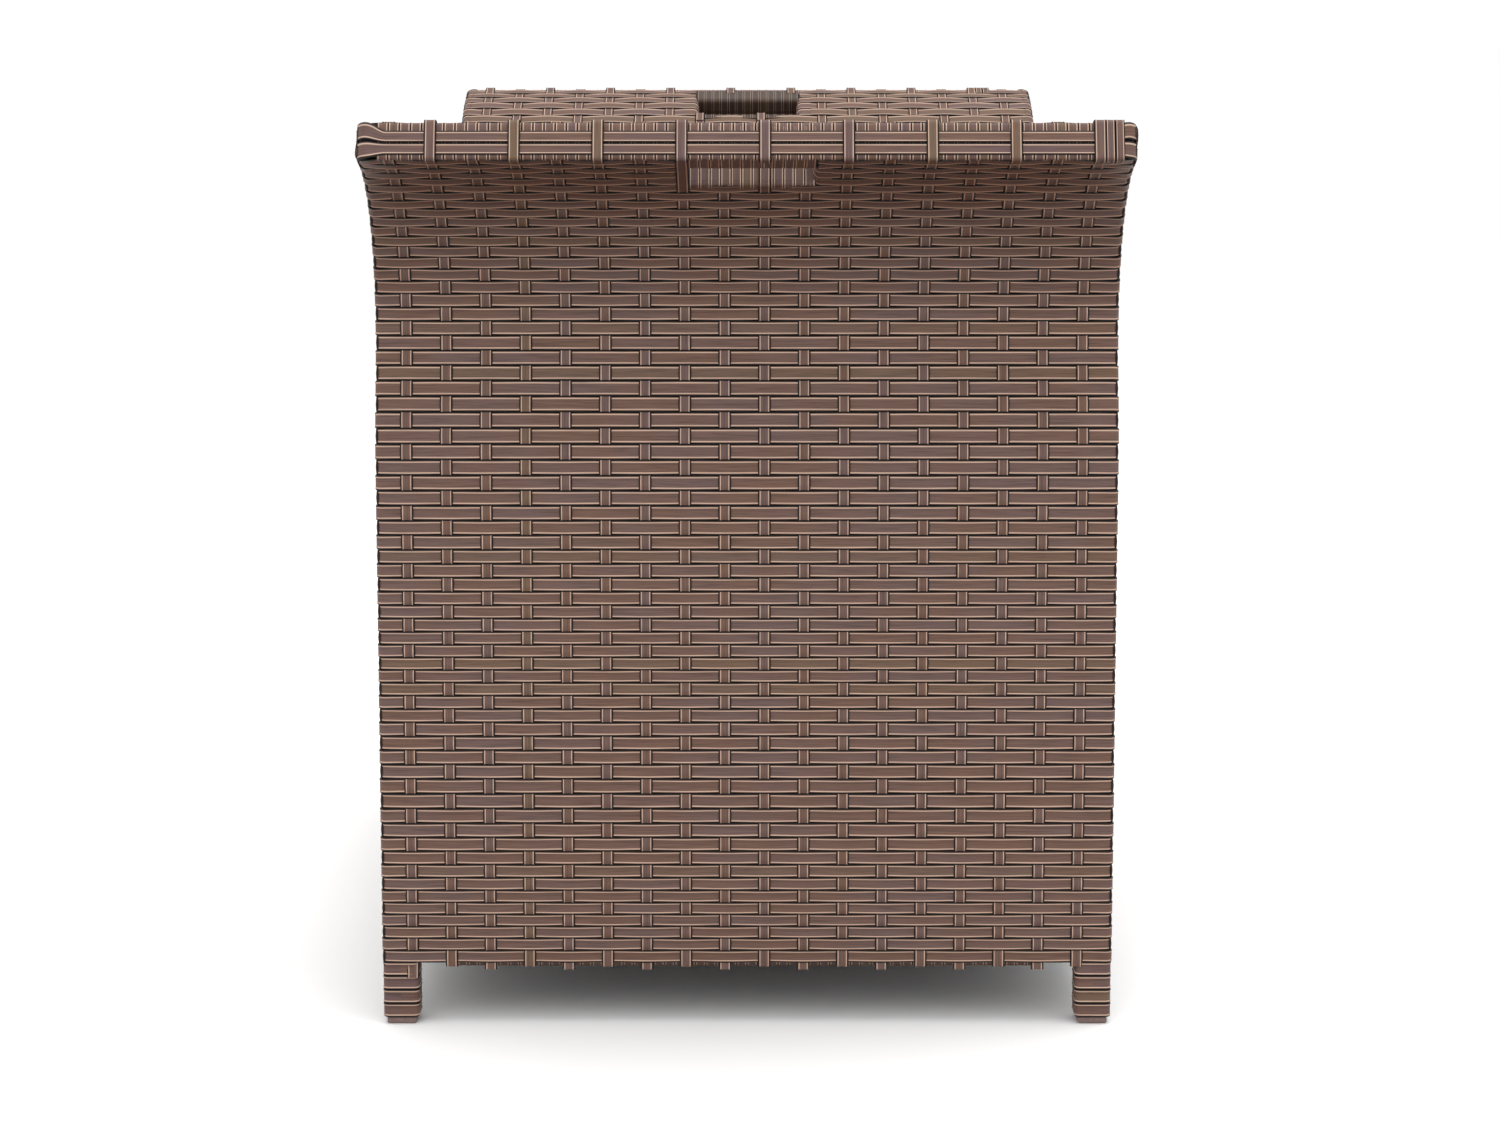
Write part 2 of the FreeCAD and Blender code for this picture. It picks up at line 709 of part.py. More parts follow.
def make_bracket_pattern_piece():
    """An angle bracket for the corner at +X +Y: its outer faces meet at the origin."""
    body = new_body("one_bracket")
    section = new_sketch(body, "section", "XY_Plane")
    leg = "-sizes.bracket_leg"
    thick = "-sizes.bracket_thick"
    corners = [("0", "0"), (leg, "0"), (leg, thick), (thick, thick), (thick, leg), ("0", leg)]
    outline(section, corners)
    pad(body, section, "sizes.bracket_tall", symmetric=True)
    for role, upwards in (("XZ_Plane", True), ("YZ_Plane", False)):
        hole = new_sketch(body, f"hole_{role[:2].lower()}", role)
        ring(hole, "sizes.bolt_hole", "-sizes.bolt_from_corner", "0")
        pocket(body, hole, upwards=upwards, symmetric=False, name=f"cut_{role[:2].lower()}")
    return body


def bracket_corners():
    """A placement for each inner corner of the frame, at the deck and at the bottom."""
    x = size(BETWEEN_POSTS_X) / 2
    y = size(BETWEEN_POSTS_Y) / 2
    corners = []
    for level in ("sizes.bottom_rail_middle", "sizes.deck_rail_middle"):
        for across, along, turn in ((1, 1, 0), (-1, 1, 90), (-1, -1, 180), (1, -1, 270)):
            base = FreeCAD.Vector(across * x, along * y, size(level))
            spin = FreeCAD.Rotation(FreeCAD.Vector(0, 0, 1), turn)
            corners.append(FreeCAD.Placement(base, spin))
    return corners


def leg_places(depth):
    """Placements of a piece along Z on a bracket's two legs, at a depth before the tube."""
    reach = size("sizes.bolt_from_corner")
    along_y = FreeCAD.Rotation(FreeCAD.Vector(1, 0, 0), -90)
    along_x = FreeCAD.Rotation(FreeCAD.Vector(0, 1, 0), 90)
    return [
        FreeCAD.Placement(FreeCAD.Vector(-reach, -depth, 0), along_y),
        FreeCAD.Placement(FreeCAD.Vector(-depth, -reach, 0), along_x),
    ]


def group(label, master, placements):
    """Copies of one piece as separate solids in one sub-part."""
    copies = []
    for placement in placements:
        copy = master.Shape.copy()
        copy.Placement = placement.multiply(master.Placement)
        copies.append(copy)
    feature = doc.addObject("Part::Feature", label)
    feature.Label = label
    feature.Shape = Part.makeCompound(copies)
    feature.Placement = FreeCAD.Placement()
    return feature


def make_fastener_groups():
    bracket = make_bracket_pattern_piece()
    bolt = make_bolt_pattern_piece()
    washer = make_disc("one_washer", "sizes.washer", "sizes.bolt_hole", "sizes.washer_thick")
    nut = make_nut_pattern_piece()
    doc.recompute()
    corners = bracket_corners()
    washer_depth = size("sizes.bracket_thick + sizes.washer_thick")
    on_legs = {
        depth: [corner.multiply(leg) for corner in corners for leg in leg_places(depth)]
        for depth in (0.0, washer_depth)
    }
    return [
        group("corner_brackets", bracket, corners),
        group("bracket_bolts", bolt, on_legs[washer_depth]),
        group("bracket_washers", washer, on_legs[washer_depth]),
        group("rivet_nuts", nut, on_legs[0.0]),
    ]


def make_glass_bumpers():
    disc = make_disc("one_bumper", "sizes.bumper", None, "sizes.bumper_thick")
    doc.recompute()
    x = size("sizes.glass_width") / 2 - 30
    y = size("sizes.glass_length") / 2 - 30
    places = []
    for across in (-x, x):
        for along in (-y, 0, y):
            base = FreeCAD.Vector(across, along, size(DECK_TOP))
            places.append(FreeCAD.Placement(base, FreeCAD.Rotation()))
    return group("glass_bumpers", disc, places)


# ---- The whole table ---------------------------------------------------------------------------

sub_parts = []
for end_name in ("near", "far"):
    for side_name in ("left", "right"):
        sub_parts.append(make_post(end_name, side_name))
        sub_parts.append(make_foot_plug(end_name, side_name))
        sub_parts.append(make_leg_wrap(end_name, side_name))
    sub_parts.append(make_rim_rail(end_name))
    sub_parts.append(make_slot_loop(end_name))
    sub_parts.append(make_end_rail(end_name, "deck_rail", "sizes.deck_rail_middle"))
    sub_parts.append(make_end_rail(end_name, "bottom_rail", "sizes.bottom_rail_middle"))
    sub_parts.append(make_outer_weave(end_name))
    sub_parts.append(make_inner_weave(end_name))
    sub_parts.append(make_rim_binding(end_name))
    sub_parts.append(make_slot_binding(end_name))
    sub_parts.append(make_end_bottom_binding(end_name))
for side_name in ("left", "right"):
    sub_parts.append(make_side_rail(side_name, "top_rail", "sizes.deck_rail_middle"))
    sub_parts.append(make_side_rail(side_name, "bottom_rail", "sizes.bottom_rail_middle"))
    sub_parts.append(make_mid_upright(side_name))
    sub_parts.append(make_skirt(side_name))
    sub_parts.append(make_side_bottom_binding(side_name))
for bar_number in (1, 2, 3):
    sub_parts.append(make_deck_bar(bar_number))
sub_parts.append(make_deck_weave())
sub_parts.append(make_glass_top())
sub_parts.append(make_glass_bumpers())
sub_parts.extend(make_fastener_groups())
doc.recompute()

for found in doc.Objects:
    if {"Invalid", "Error"} & set(found.State):
        raise RuntimeError(f"{found.Label} failed: {found.State}")
for sub_part in sub_parts:
    if sub_part.Shape.isNull() or not sub_part.Shape.isValid():
        raise RuntimeError(f"{sub_part.Label} has no valid shape")

whole = Part.makeCompound([sub_part.Shape for sub_part in sub_parts]).BoundBox
print(f"{len(sub_parts)} sub-parts, {whole.XLength:.2f} x {whole.YLength:.2f} x {whole.ZLength:.2f}")
os.makedirs("parts", exist_ok=True)
for sub_part in sub_parts:
    sub_part.Shape.exportStep(f"parts/{sub_part.Label}.step")
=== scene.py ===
"""Looks of the wicker coffee table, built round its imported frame.

Metres, +Z up, +Y along the table. Every wicker piece is laid out flat first: p runs along its
plan, s runs up its face line and h stands off the face. One tree of geometry nodes gives the
strands their waves and thickness and bends them onto the piece.
"""

import math

import bmesh
import bpy
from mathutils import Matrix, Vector


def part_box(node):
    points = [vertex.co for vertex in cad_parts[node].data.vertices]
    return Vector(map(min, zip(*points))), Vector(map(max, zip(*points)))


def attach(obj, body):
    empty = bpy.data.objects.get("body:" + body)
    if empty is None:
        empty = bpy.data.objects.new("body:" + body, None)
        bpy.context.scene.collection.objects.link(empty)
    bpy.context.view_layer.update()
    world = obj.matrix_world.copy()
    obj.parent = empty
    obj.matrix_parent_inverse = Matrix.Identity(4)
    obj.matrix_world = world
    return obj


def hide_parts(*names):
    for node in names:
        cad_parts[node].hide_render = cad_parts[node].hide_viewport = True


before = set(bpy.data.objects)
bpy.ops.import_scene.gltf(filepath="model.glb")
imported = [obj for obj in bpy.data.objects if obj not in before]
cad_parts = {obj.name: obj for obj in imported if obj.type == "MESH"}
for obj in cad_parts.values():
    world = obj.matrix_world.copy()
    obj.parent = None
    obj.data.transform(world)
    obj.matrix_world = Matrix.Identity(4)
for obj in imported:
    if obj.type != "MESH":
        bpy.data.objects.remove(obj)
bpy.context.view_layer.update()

MM = 0.001
ENDS = ("near", "far")
SIDES = ("left", "right")

# The outer face of an end panel, from its bottom edge up to the rim
WALL_HALF = 349 * MM
GUIDE_FOOT = 20 * MM  # height at which every face line starts
WEAVE_BOTTOM = 41 * MM
NECK_START = 385 * MM
LEAN_ANGLE = 12
LEAN_RADIUS = 167 * MM
LEAN_RUN = 32.6 * MM
FLARE_RADIUS = 117 * MM
FLARE_ANGLE = 72
RIM_RUN = 24.25 * MM
PANEL_DEPTH = 26.6 * MM
HALF_WIDTH = 250 * MM
DECK_TOP = 391.3 * MM
SKIN_MIDDLE = 1.5 * MM  # depth of the middle of a woven skin
CORNER = 3.5 * MM  # radius of a strand that turns round the frame

# The strands
WEFT_WIDTH = 8.9 * MM
STAKE_WIDTH = 8.5 * MM
STRAND_THICK = 1.25 * MM
WAVE = 0.62 * MM  # how far a strand swings either side of the middle of the weave
STAKE_PITCH = 26.66 * MM
FIRST_STAKE = -228.3 * MM
STAKES = 18
FIRST_ROW = 48.1 * MM
LAST_ROW = 63
ROW_PITCHES = ((0, 8.5), (4, 8.3), (12, 10.4), (22, 8.6), (39, 10.9), (53, 7.9), (61, 9.8))
DECK_ROW = 36  # the last row below the deck

# The hand slot, as angles on the flare
SLOT_HALF = 43 * MM
SLOT_ANGLES = (59, 71)
SLOT_ROWS = (59, 60, 61)
SLOT_TURN_IN = 55 * MM  # where the rows beside the slot start to turn into it


def turned(centre, radius, start, stop, step=3.0):
    """Points of an arc from start to stop degrees, at most step degrees apart."""
    count = max(1, math.ceil(abs(stop - start) / step))
    points = []
    for i in range(count + 1):
        angle = math.radians(start + (stop - start) * i / count)
        points.append((centre[0] + radius * math.cos(angle), centre[1] + radius * math.sin(angle)))
    return points


BEND_STEPS = 5  # steps round each rounded corner of a path


def rounded(corners, radius):
    """An open path of 2D points through the corners, each corner rounded."""
    path = [Vector(corners[0])]
    for before, corner, after in zip(corners, corners[1:], corners[2:]):
        corner = Vector(corner)
        back = (Vector(before) - corner).normalized()
        ahead = (Vector(after) - corner).normalized()
        half = back.angle(ahead) / 2
        cut = radius / math.tan(half)
        middle = corner + (back + ahead).normalized() * (radius / math.sin(half))
        first = corner + back * cut - middle
        last = corner + ahead * cut - middle
        sweep = first.angle_signed(last)
        for i in range(BEND_STEPS + 1):
            angle = -sweep * i / BEND_STEPS
            turn = Vector((
                first.x * math.cos(angle) - first.y * math.sin(angle),
                first.x * math.sin(angle) + first.y * math.cos(angle),
            ))
            path.append(middle + turn)
    path.append(Vector(corners[-1]))
    return path


def path_length(points):
    """Length of a path of points."""
    return sum((Vector(b) - Vector(a)).length for a, b in zip(points, points[1:]))


def outer_face():
    """(out, up) points of the outer face of an end panel, from the guide's foot to the rim."""
    lean = math.radians(LEAN_ANGLE)
    points = [(0.0, GUIDE_FOOT)]
    points += turned((-LEAN_RADIUS, NECK_START), LEAN_RADIUS, 0, LEAN_ANGLE)
    out, up = points[-1]
    out -= LEAN_RUN * math.sin(lean)
    up += LEAN_RUN * math.cos(lean)
    centre = (out + FLARE_RADIUS * math.cos(lean), up + FLARE_RADIUS * math.sin(lean))
    points += turned(centre, FLARE_RADIUS, 180 + LEAN_ANGLE, 180 - FLARE_ANGLE, step=2.0)
    flare = math.radians(FLARE_ANGLE)
    out, up = points[-1]
    points.append((out + RIM_RUN * math.sin(flare), up + RIM_RUN * math.cos(flare)))
    return points


OUTER_FACE = outer_face()
RIM_END = path_length(OUTER_FACE)


def flare_distance(angle):
    """How far up the face line the flare leans out by this angle."""
    return RIM_END - RIM_RUN - FLARE_RADIUS * math.radians(FLARE_ANGLE - angle)


def panel_point(distance, depth):
    """(out, up) of the point this far up the face line and this deep inside the panel."""
    left = min(max(distance, 0.0), RIM_END)
    for start, stop in zip(OUTER_FACE, OUTER_FACE[1:]):
        a = Vector(start)
        run = Vector(stop) - a
        if left <= run.length or stop == OUTER_FACE[-1]:
            break
        left -= run.length
    along = run.normalized()
    inward = Vector((-along.y, along.x))
    return a + along * (left + distance - min(distance, RIM_END)) + inward * depth


def row_places():
    """Distance of every row of weft up the face line."""
    places = [FIRST_ROW - GUIDE_FOOT]
    for row in range(LAST_ROW):
        middle = row + 0.5
        spacing = ROW_PITCHES[-1][1]
        for (r_0, pitch_0), (r_1, pitch_1) in zip(ROW_PITCHES, ROW_PITCHES[1:]):
            if r_0 <= middle < r_1:
                spacing = pitch_0 + (pitch_1 - pitch_0) * (middle - r_0) / (r_1 - r_0)
        places.append(places[-1] + spacing * MM)
    return places


ROWS = row_places()


# ---------------------------------------------------------------- node helpers


def add_node(tree, kind, feeds=None, **options):
    """Adds a node, sets its options, and feeds its sockets from values or other sockets."""
    node = tree.nodes.new(kind)
    for name, value in options.items():
        setattr(node, name, value)
    for key, value in (feeds or {}).items():
        if isinstance(value, bpy.types.NodeSocket):
            tree.links.new(value, node.inputs[key])
        else:
            node.inputs[key].default_value = value
    return node


def calc(tree, operation, a, b=0.0):
    """A Math node's result."""
    return add_node(tree, "ShaderNodeMath", {0: a, 1: b}, operation=operation).outputs[0]


def vector(tree, operation, a, b=(0.0, 0.0, 0.0)):
    """A Vector Math node's vector result."""
    node = add_node(tree, "ShaderNodeVectorMath", {0: a, 1: b}, operation=operation)
    return node.outputs["Vector"]


def scaled(tree, a, factor):
    """A vector times a number."""
    node = add_node(tree, "ShaderNodeVectorMath", {0: a, "Scale": factor}, operation="SCALE")
    return node.outputs["Vector"]


def combined(tree, x, y, z):
    """A vector from three numbers."""
    return add_node(tree, "ShaderNodeCombineXYZ", {0: x, 1: y, 2: z}).outputs[0]


# ---------------------------------------------------------------- the strand tree

STRAND_INPUTS = (
    ("Lines", "NodeSocketGeometry"),
    ("Section", "NodeSocketObject"),
    ("Face line", "NodeSocketObject"),
    ("Plan", "NodeSocketObject"),
    ("Run", "NodeSocketVector"),
    ("Strand width", "NodeSocketFloat"),
    ("Strand thickness", "NodeSocketFloat"),
    ("Wave height", "NodeSocketFloat"),
    ("Seed", "NodeSocketInt"),
    ("Material", "NodeSocketMaterial"),
)


def named(tree, name):
    """A float attribute of the geometry, by name."""
    return add_node(tree, "GeometryNodeInputNamedAttribute", {"Name": name}).outputs[0]


def stored(tree, geometry, name, value, domain="POINT"):
    """The geometry with the value stored under the name."""
    feeds = {"Geometry": geometry, "Name": name, "Value": value}
    node = add_node(tree, "GeometryNodeStoreNamedAttribute", feeds, domain=domain)
    return node.outputs[0]


def sampled(tree, guide, distance):
    """(position, tangent) of a guide at a distance along it."""
    feeds = {"Curves": guide, "Length": distance}
    node = add_node(tree, "GeometryNodeSampleCurve", feeds, mode="LENGTH")
    return node.outputs["Position"], node.outputs["Tangent"]


def waved_strands(tree, given):
    """Flat strands: each line gets its wave and is given the strand's section."""
    curve = add_node(tree, "GeometryNodeMeshToCurve", {0: given["Lines"]}).outputs[0]
    swing = calc(tree, "COSINE", calc(tree, "MULTIPLY", named(tree, "turn"), math.pi))
    full = calc(tree, "MULTIPLY", given["Wave height"], named(tree, "wave"))
    height = calc(tree, "MULTIPLY", swing, full)
    height = calc(tree, "ADD", height, named(tree, "lift"))
    feeds = {"Geometry": curve, "Offset": combined(tree, 0.0, 0.0, height)}
    curve = add_node(tree, "GeometryNodeSetPosition", feeds).outputs[0]
    curve = add_node(tree, "GeometryNodeSetCurveNormal", {0: curve}, mode="Z_UP").outputs[0]
    along = add_node(tree, "GeometryNodeSplineParameter").outputs["Length"]
    curve = stored(tree, curve, "along", along)
    tint = add_node(tree, "FunctionNodeRandomValue", {"Seed": given["Seed"]}, data_type="FLOAT")
    curve = stored(tree, curve, "tint", tint.outputs[1], domain="CURVE")
    section = add_node(tree, "GeometryNodeObjectInfo", {0: given["Section"]}).outputs["Geometry"]
    place = add_node(tree, "GeometryNodeInputPosition").outputs[0]
    across = add_node(tree, "ShaderNodeSeparateXYZ", {0: place}).outputs[0]
    section = stored(tree, section, "across", across)
    half = calc(tree, "MULTIPLY", given["Strand width"], 0.5)
    size = combined(tree, half, given["Strand thickness"], 1.0)
    section = add_node(tree, "GeometryNodeTransform", {"Geometry": section, "Scale": size}).outputs[0]
    feeds = {
        "Curve": curve,
        "Profile Curve": section,
        "Scale": named(tree, "breadth"),
        "Fill Caps": True,
    }
    return add_node(tree, "GeometryNodeCurveToMesh", feeds).outputs[0]


def bent_strands(tree, given, strands):
    """The flat strands bent along the plan and up the face line."""
    face = add_node(tree, "GeometryNodeObjectInfo", {0: given["Face line"]}).outputs["Geometry"]
    plan = add_node(tree, "GeometryNodeObjectInfo", {0: given["Plan"]}).outputs["Geometry"]
    flat = add_node(tree, "GeometryNodeInputPosition").outputs[0]
    flat = add_node(tree, "ShaderNodeSeparateXYZ", {0: flat})
    along, up, height = flat.outputs
    face_point, face_tangent = sampled(tree, face, up)
    plan_point, plan_tangent = sampled(tree, plan, along)
    outward = vector(tree, "NORMALIZE", vector(tree, "CROSS_PRODUCT", given["Run"], face_tangent))
    point = add_node(tree, "ShaderNodeSeparateXYZ", {0: plan_point}).outputs
    tangent = add_node(tree, "ShaderNodeSeparateXYZ", {0: plan_tangent}).outputs
    run = calc(tree, "SUBTRACT", point[0], calc(tree, "MULTIPLY", height, tangent[1]))
    out = calc(tree, "ADD", point[1], calc(tree, "MULTIPLY", height, tangent[0]))
    place = vector(tree, "ADD", face_point, scaled(tree, given["Run"], run))
    place = vector(tree, "ADD", place, scaled(tree, outward, out))
    feeds = {"Geometry": strands, "Position": place}
    return add_node(tree, "GeometryNodeSetPosition", feeds).outputs[0]


def make_strand_tree():
    """The tree that turns flat lines into bent strands of wicker."""
    tree = bpy.data.node_groups.new("wicker_strands", "GeometryNodeTree")
    for name, kind in STRAND_INPUTS:
        tree.interface.new_socket(name, in_out="INPUT", socket_type=kind)
    tree.interface.new_socket("Strands", in_out="OUTPUT", socket_type="NodeSocketGeometry")
    given = add_node(tree, "NodeGroupInput").outputs
    strands = bent_strands(tree, given, waved_strands(tree, given))
    strands = add_node(tree, "GeometryNodeSetShadeSmooth", {0: strands}).outputs[0]
    strands = add_node(tree, "GeometryNodeRealizeInstances", {0: strands}).outputs[0]
    feeds = {"Geometry": strands, "Material": given["Material"]}
    strands = add_node(tree, "GeometryNodeSetMaterial", feeds).outputs[0]
    result = add_node(tree, "NodeGroupOutput")
    tree.links.new(strands, result.inputs[0])
    return tree


STRAND_TREE = make_strand_tree()


def set_input(modifier, name, value):
    """Sets one named input of a geometry nodes modifier."""
    for item in modifier.node_group.interface.items_tree:
        if item.name == name and item.in_out == "INPUT":
            modifier[item.identifier] = value


def guide(name, points):
    """A helper curve through 3D points."""
    data = bpy.data.curves.new(name, "CURVE")
    data.dimensions = "3D"
    spline = data.splines.new("POLY")
    spline.points.add(len(points) - 1)
    for point, place in zip(spline.points, points):
        point.co = (*place, 1.0)
    item = bpy.data.objects.new(name, data)
    bpy.context.scene.collection.objects.link(item)
    return item


def flat_guide(name, points):
    """A helper curve through plan points (along, out)."""
    return guide(name, [(x, y, 0.0) for x, y in points])


def drop(*guides):
    """Removes helper curves."""
    for item in guides:
        bpy.data.objects.remove(item)


def strand_section(name):
    """A strand's closed outline, two wide and one thick: a ridge near each edge and a keeled back."""
    top = ((1.0, 0.02), (0.88, 0.36), (0.73, 0.5), (0.54, 0.3))
    points = [(0.0, 0.5, 0.0)]
    points += [(-x, -y, 0.0) for x, y in top]
    points += [(x, -y, 0.0) for x, y in reversed(top)]
    section = guide(name, points)
    section.data.splines[0].use_cyclic_u = True
    return section


class Loom:
    """Flat lines of strands, each point with the turn, lift, wave and breadth it has there."""

    def __init__(self):
        self.places = []
        self.edges = []
        self.facts = {"turn": [], "lift": [], "wave": [], "breadth": []}

    def strand(self, points):
        """Adds one strand from (p, s, turn, lift, wave, breadth) points."""
        first = len(self.places)
        for p, s, *facts in points:
            self.places.append((p, s, 0.0))
            for name, value in zip(self.facts, facts):
                self.facts[name].append(value)
        self.edges += [(i, i + 1) for i in range(first, len(self.places) - 1)]

    def mesh(self, name):
        """The lines as a mesh of edges."""
        data = bpy.data.meshes.new(name)
        data.from_pydata(self.places, self.edges, [])
        for fact, values in self.facts.items():
            data.attributes.new(fact, "FLOAT", "POINT").data.foreach_set("value", values)
        return data


def woven(loom, face, plan, run, material, seed, width=WEFT_WIDTH, thick=STRAND_THICK):
    """The finished mesh of one loom's strands."""
    item = bpy.data.objects.new("loom", loom.mesh("loom"))
    bpy.context.scene.collection.objects.link(item)
    modifier = item.modifiers.new("strands", "NODES")
    modifier.node_group = STRAND_TREE
    set_input(modifier, "Section", SECTION)
    set_input(modifier, "Face line", face)
    set_input(modifier, "Plan", plan)
    set_input(modifier, "Run", run)
    set_input(modifier, "Strand width", width)
    set_input(modifier, "Strand thickness", thick)
    set_input(modifier, "Wave height", WAVE)
    set_input(modifier, "Seed", seed)
    set_input(modifier, "Material", material)
    bpy.context.view_layer.update()
    evaluated = item.evaluated_get(bpy.context.evaluated_depsgraph_get())
    mesh = bpy.data.meshes.new_from_object(evaluated)
    item.modifiers.remove(modifier)
    bpy.data.objects.remove(item)
    return mesh


SECTION = strand_section("strand_section")


def fold(meshes, name, body, slot, *nodes):
    """Joins the meshes into one piece that rides on a body and stands for the CAD nodes."""
    whole = bmesh.new()
    materials = []
    for mesh in meshes:
        if mesh.materials[0] not in materials:
            materials.append(mesh.materials[0])
        index = materials.index(mesh.materials[0])
        mesh.polygons.foreach_set("material_index", [index] * len(mesh.polygons))
        whole.from_mesh(mesh)
    data = bpy.data.meshes.new(name)
    whole.to_mesh(data)
    whole.free()
    for material in materials:
        data.materials.append(material)
    piece = bpy.data.objects.new(name, data)
    bpy.context.scene.collection.objects.link(piece)
    for mesh in meshes:
        bpy.data.meshes.remove(mesh)
    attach(piece, body)
    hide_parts(*nodes)


# ---------------------------------------------------------------- materials


def shaded(name, **settings):
    """A new material with a Principled surface and its plain settings."""
    material = bpy.data.materials.new(name)
    material.use_nodes = True
    surface = material.node_tree.nodes["Principled BSDF"]
    for socket, value in settings.items():
        surface.inputs[socket.replace("_", " ")].default_value = value
    return material, material.node_tree, surface


def attribute(tree, name):
    """A float attribute of the surface."""
    return add_node(tree, "ShaderNodeAttribute", attribute_name=name).outputs["Fac"]


def noise(tree, place, scale, detail=2.0):
    """Noise from 0 to 1 at a place."""
    feeds = {"Vector": place, "Scale": scale, "Detail": detail}
    return add_node(tree, "ShaderNodeTexNoise", feeds).outputs[0]


def blend(tree, amount, a, b, kind="MIX"):
    """Two colours mixed by an amount."""
    node = add_node(tree, "ShaderNodeMix", data_type="RGBA", blend_type=kind)
    for key, value in ((0, amount), (6, a), (7, b)):
        if isinstance(value, bpy.types.NodeSocket):
            tree.links.new(value, node.inputs[key])
        else:
            node.inputs[key].default_value = value
    return node.outputs[2]


def ramped(tree, value, *stops):
    """A grey ramp's result: stops are (place, grey)."""
    node = add_node(tree, "ShaderNodeValToRGB", {0: value})
    ramp = node.color_ramp
    while len(ramp.elements) < len(stops):
        ramp.elements.new(0.5)
    for element, (place, grey) in zip(ramp.elements, stops):
        element.position = place
        element.color = (grey, grey, grey, 1.0)
    return node.outputs[0]


UNDER_SHADE = (0.40, 0.31, 0.26, 1.0)  # what is left of a strand's colour where it faces down


def wicker_material(name, brown, dusk, olive, pale):
    """Satin plastic strand: pale edge lines, fine lengthwise grain, slow drifts of colour, painted
    shade in the creases along each edge and on the sides that face down.
    """
    material, tree, surface = shaded(name, Specular_IOR_Level=0.22)
    across = calc(tree, "ABSOLUTE", attribute(tree, "across"))
    along = attribute(tree, "along")
    tint = attribute(tree, "tint")
    drift_along = calc(tree, "MULTIPLY", along, 9.0)
    drift_place = combined(tree, drift_along, calc(tree, "MULTIPLY", tint, 80.0), 0.0)
    drift = noise(tree, drift_place, 1.0)
    fibre_place = combined(
        tree,
        calc(tree, "MULTIPLY", along, 25.0),
        calc(tree, "MULTIPLY", attribute(tree, "across"), 6.0),
        calc(tree, "MULTIPLY", tint, 70.0),
    )
    fibre = noise(tree, fibre_place, 1.6, detail=3.0)
    base = blend(tree, ramped(tree, drift, (0.40, 0.0), (0.62, 1.0)), brown, dusk)
    base = blend(tree, ramped(tree, tint, (0.80, 0.0), (0.95, 0.7)), base, olive)
    streak = ramped(tree, fibre, (0.30, 0.62), (0.50, 1.0), (0.72, 1.16))
    base = blend(tree, 1.0, base, streak, kind="MULTIPLY")
    ridge = ramped(tree, across, (0.55, 0.0), (0.62, 1.0), (0.71, 1.0), (0.76, 0.0))
    ridge = calc(tree, "MULTIPLY", ridge, ramped(tree, fibre, (0.25, 0.55), (0.6, 0.9)))
    base = blend(tree, ridge, base, pale)
    # Painted shade: the colour darkens towards each strand edge, standing in for the shadow in the
    # creases between strands.
    bevel = ramped(tree, across, (0.755, 1.0), (0.81, 0.10), (1.0, 0.05))
    base = blend(tree, 1.0, base, bevel, kind="MULTIPLY")
    facing = add_node(tree, "ShaderNodeTexCoord").outputs["Normal"]
    down = add_node(tree, "ShaderNodeSeparateXYZ", {0: facing}).outputs[2]
    down = calc(tree, "ADD", calc(tree, "MULTIPLY", down, 0.5), 0.5)
    lit = ramped(tree, down, (0.08, 0.0), (0.40, 0.62), (0.50, 1.0))
    base = blend(tree, 1.0, base, blend(tree, lit, UNDER_SHADE, (1.0, 1.0, 1.0, 1.0)), kind="MULTIPLY")
    tree.links.new(base, surface.inputs["Base Color"])
    rough = calc(tree, "ADD", calc(tree, "MULTIPLY", fibre, 0.18), 0.40)
    tree.links.new(rough, surface.inputs["Roughness"])
    feeds = {"Strength": 0.35, "Distance": 0.15 * MM, "Height": fibre}
    bump = add_node(tree, "ShaderNodeBump", feeds).outputs[0]
    tree.links.new(bump, surface.inputs["Normal"])
    return material


def speckled_material(name, colour, other, scale, roughness, **settings):
    """A moulded or coated surface: fine speckle in colour, roughness and relief."""
    material, tree, surface = shaded(name, **settings)
    place = add_node(tree, "ShaderNodeTexCoord").outputs["Object"]
    grain = noise(tree, place, scale, detail=4.0)
    broad = noise(tree, place, scale * 0.03)
    mixed = blend(tree, ramped(tree, grain, (0.35, 0.0), (0.65, 1.0)), colour, other)
    mixed = blend(tree, 1.0, mixed, ramped(tree, broad, (0.3, 0.85), (0.7, 1.1)), kind="MULTIPLY")
    tree.links.new(mixed, surface.inputs["Base Color"])
    rough = calc(tree, "ADD", calc(tree, "MULTIPLY", grain, 0.15), roughness)
    tree.links.new(rough, surface.inputs["Roughness"])
    feeds = {"Strength": 0.3, "Distance": 0.1 * MM, "Height": grain}
    bump = add_node(tree, "ShaderNodeBump", feeds).outputs[0]
    tree.links.new(bump, surface.inputs["Normal"])
    return material


def clear_material(name, tint, roughness):
    """A clear plate that lets light straight through and shines more the flatter it is seen."""
    material, tree, surface = shaded(name)
    tree.nodes.remove(surface)
    facing = add_node(tree, "ShaderNodeLayerWeight", {"Blend": 0.5}).outputs["Facing"]
    share = ramped(tree, facing, (0.0, 0.03), (0.55, 0.06), (0.8, 0.22), (1.0, 0.8))
    clear = add_node(tree, "ShaderNodeBsdfTransparent", {"Color": tint}).outputs[0]
    feeds = {"Color": (1.0, 1.0, 1.0, 1.0), "Roughness": roughness}
    gloss = add_node(tree, "ShaderNodeBsdfGlossy", feeds).outputs[0]
    mixed = add_node(tree, "ShaderNodeMixShader", {0: share, 1: clear, 2: gloss}).outputs[0]
    tree.links.new(mixed, tree.nodes["Material Output"].inputs["Surface"])
    return material


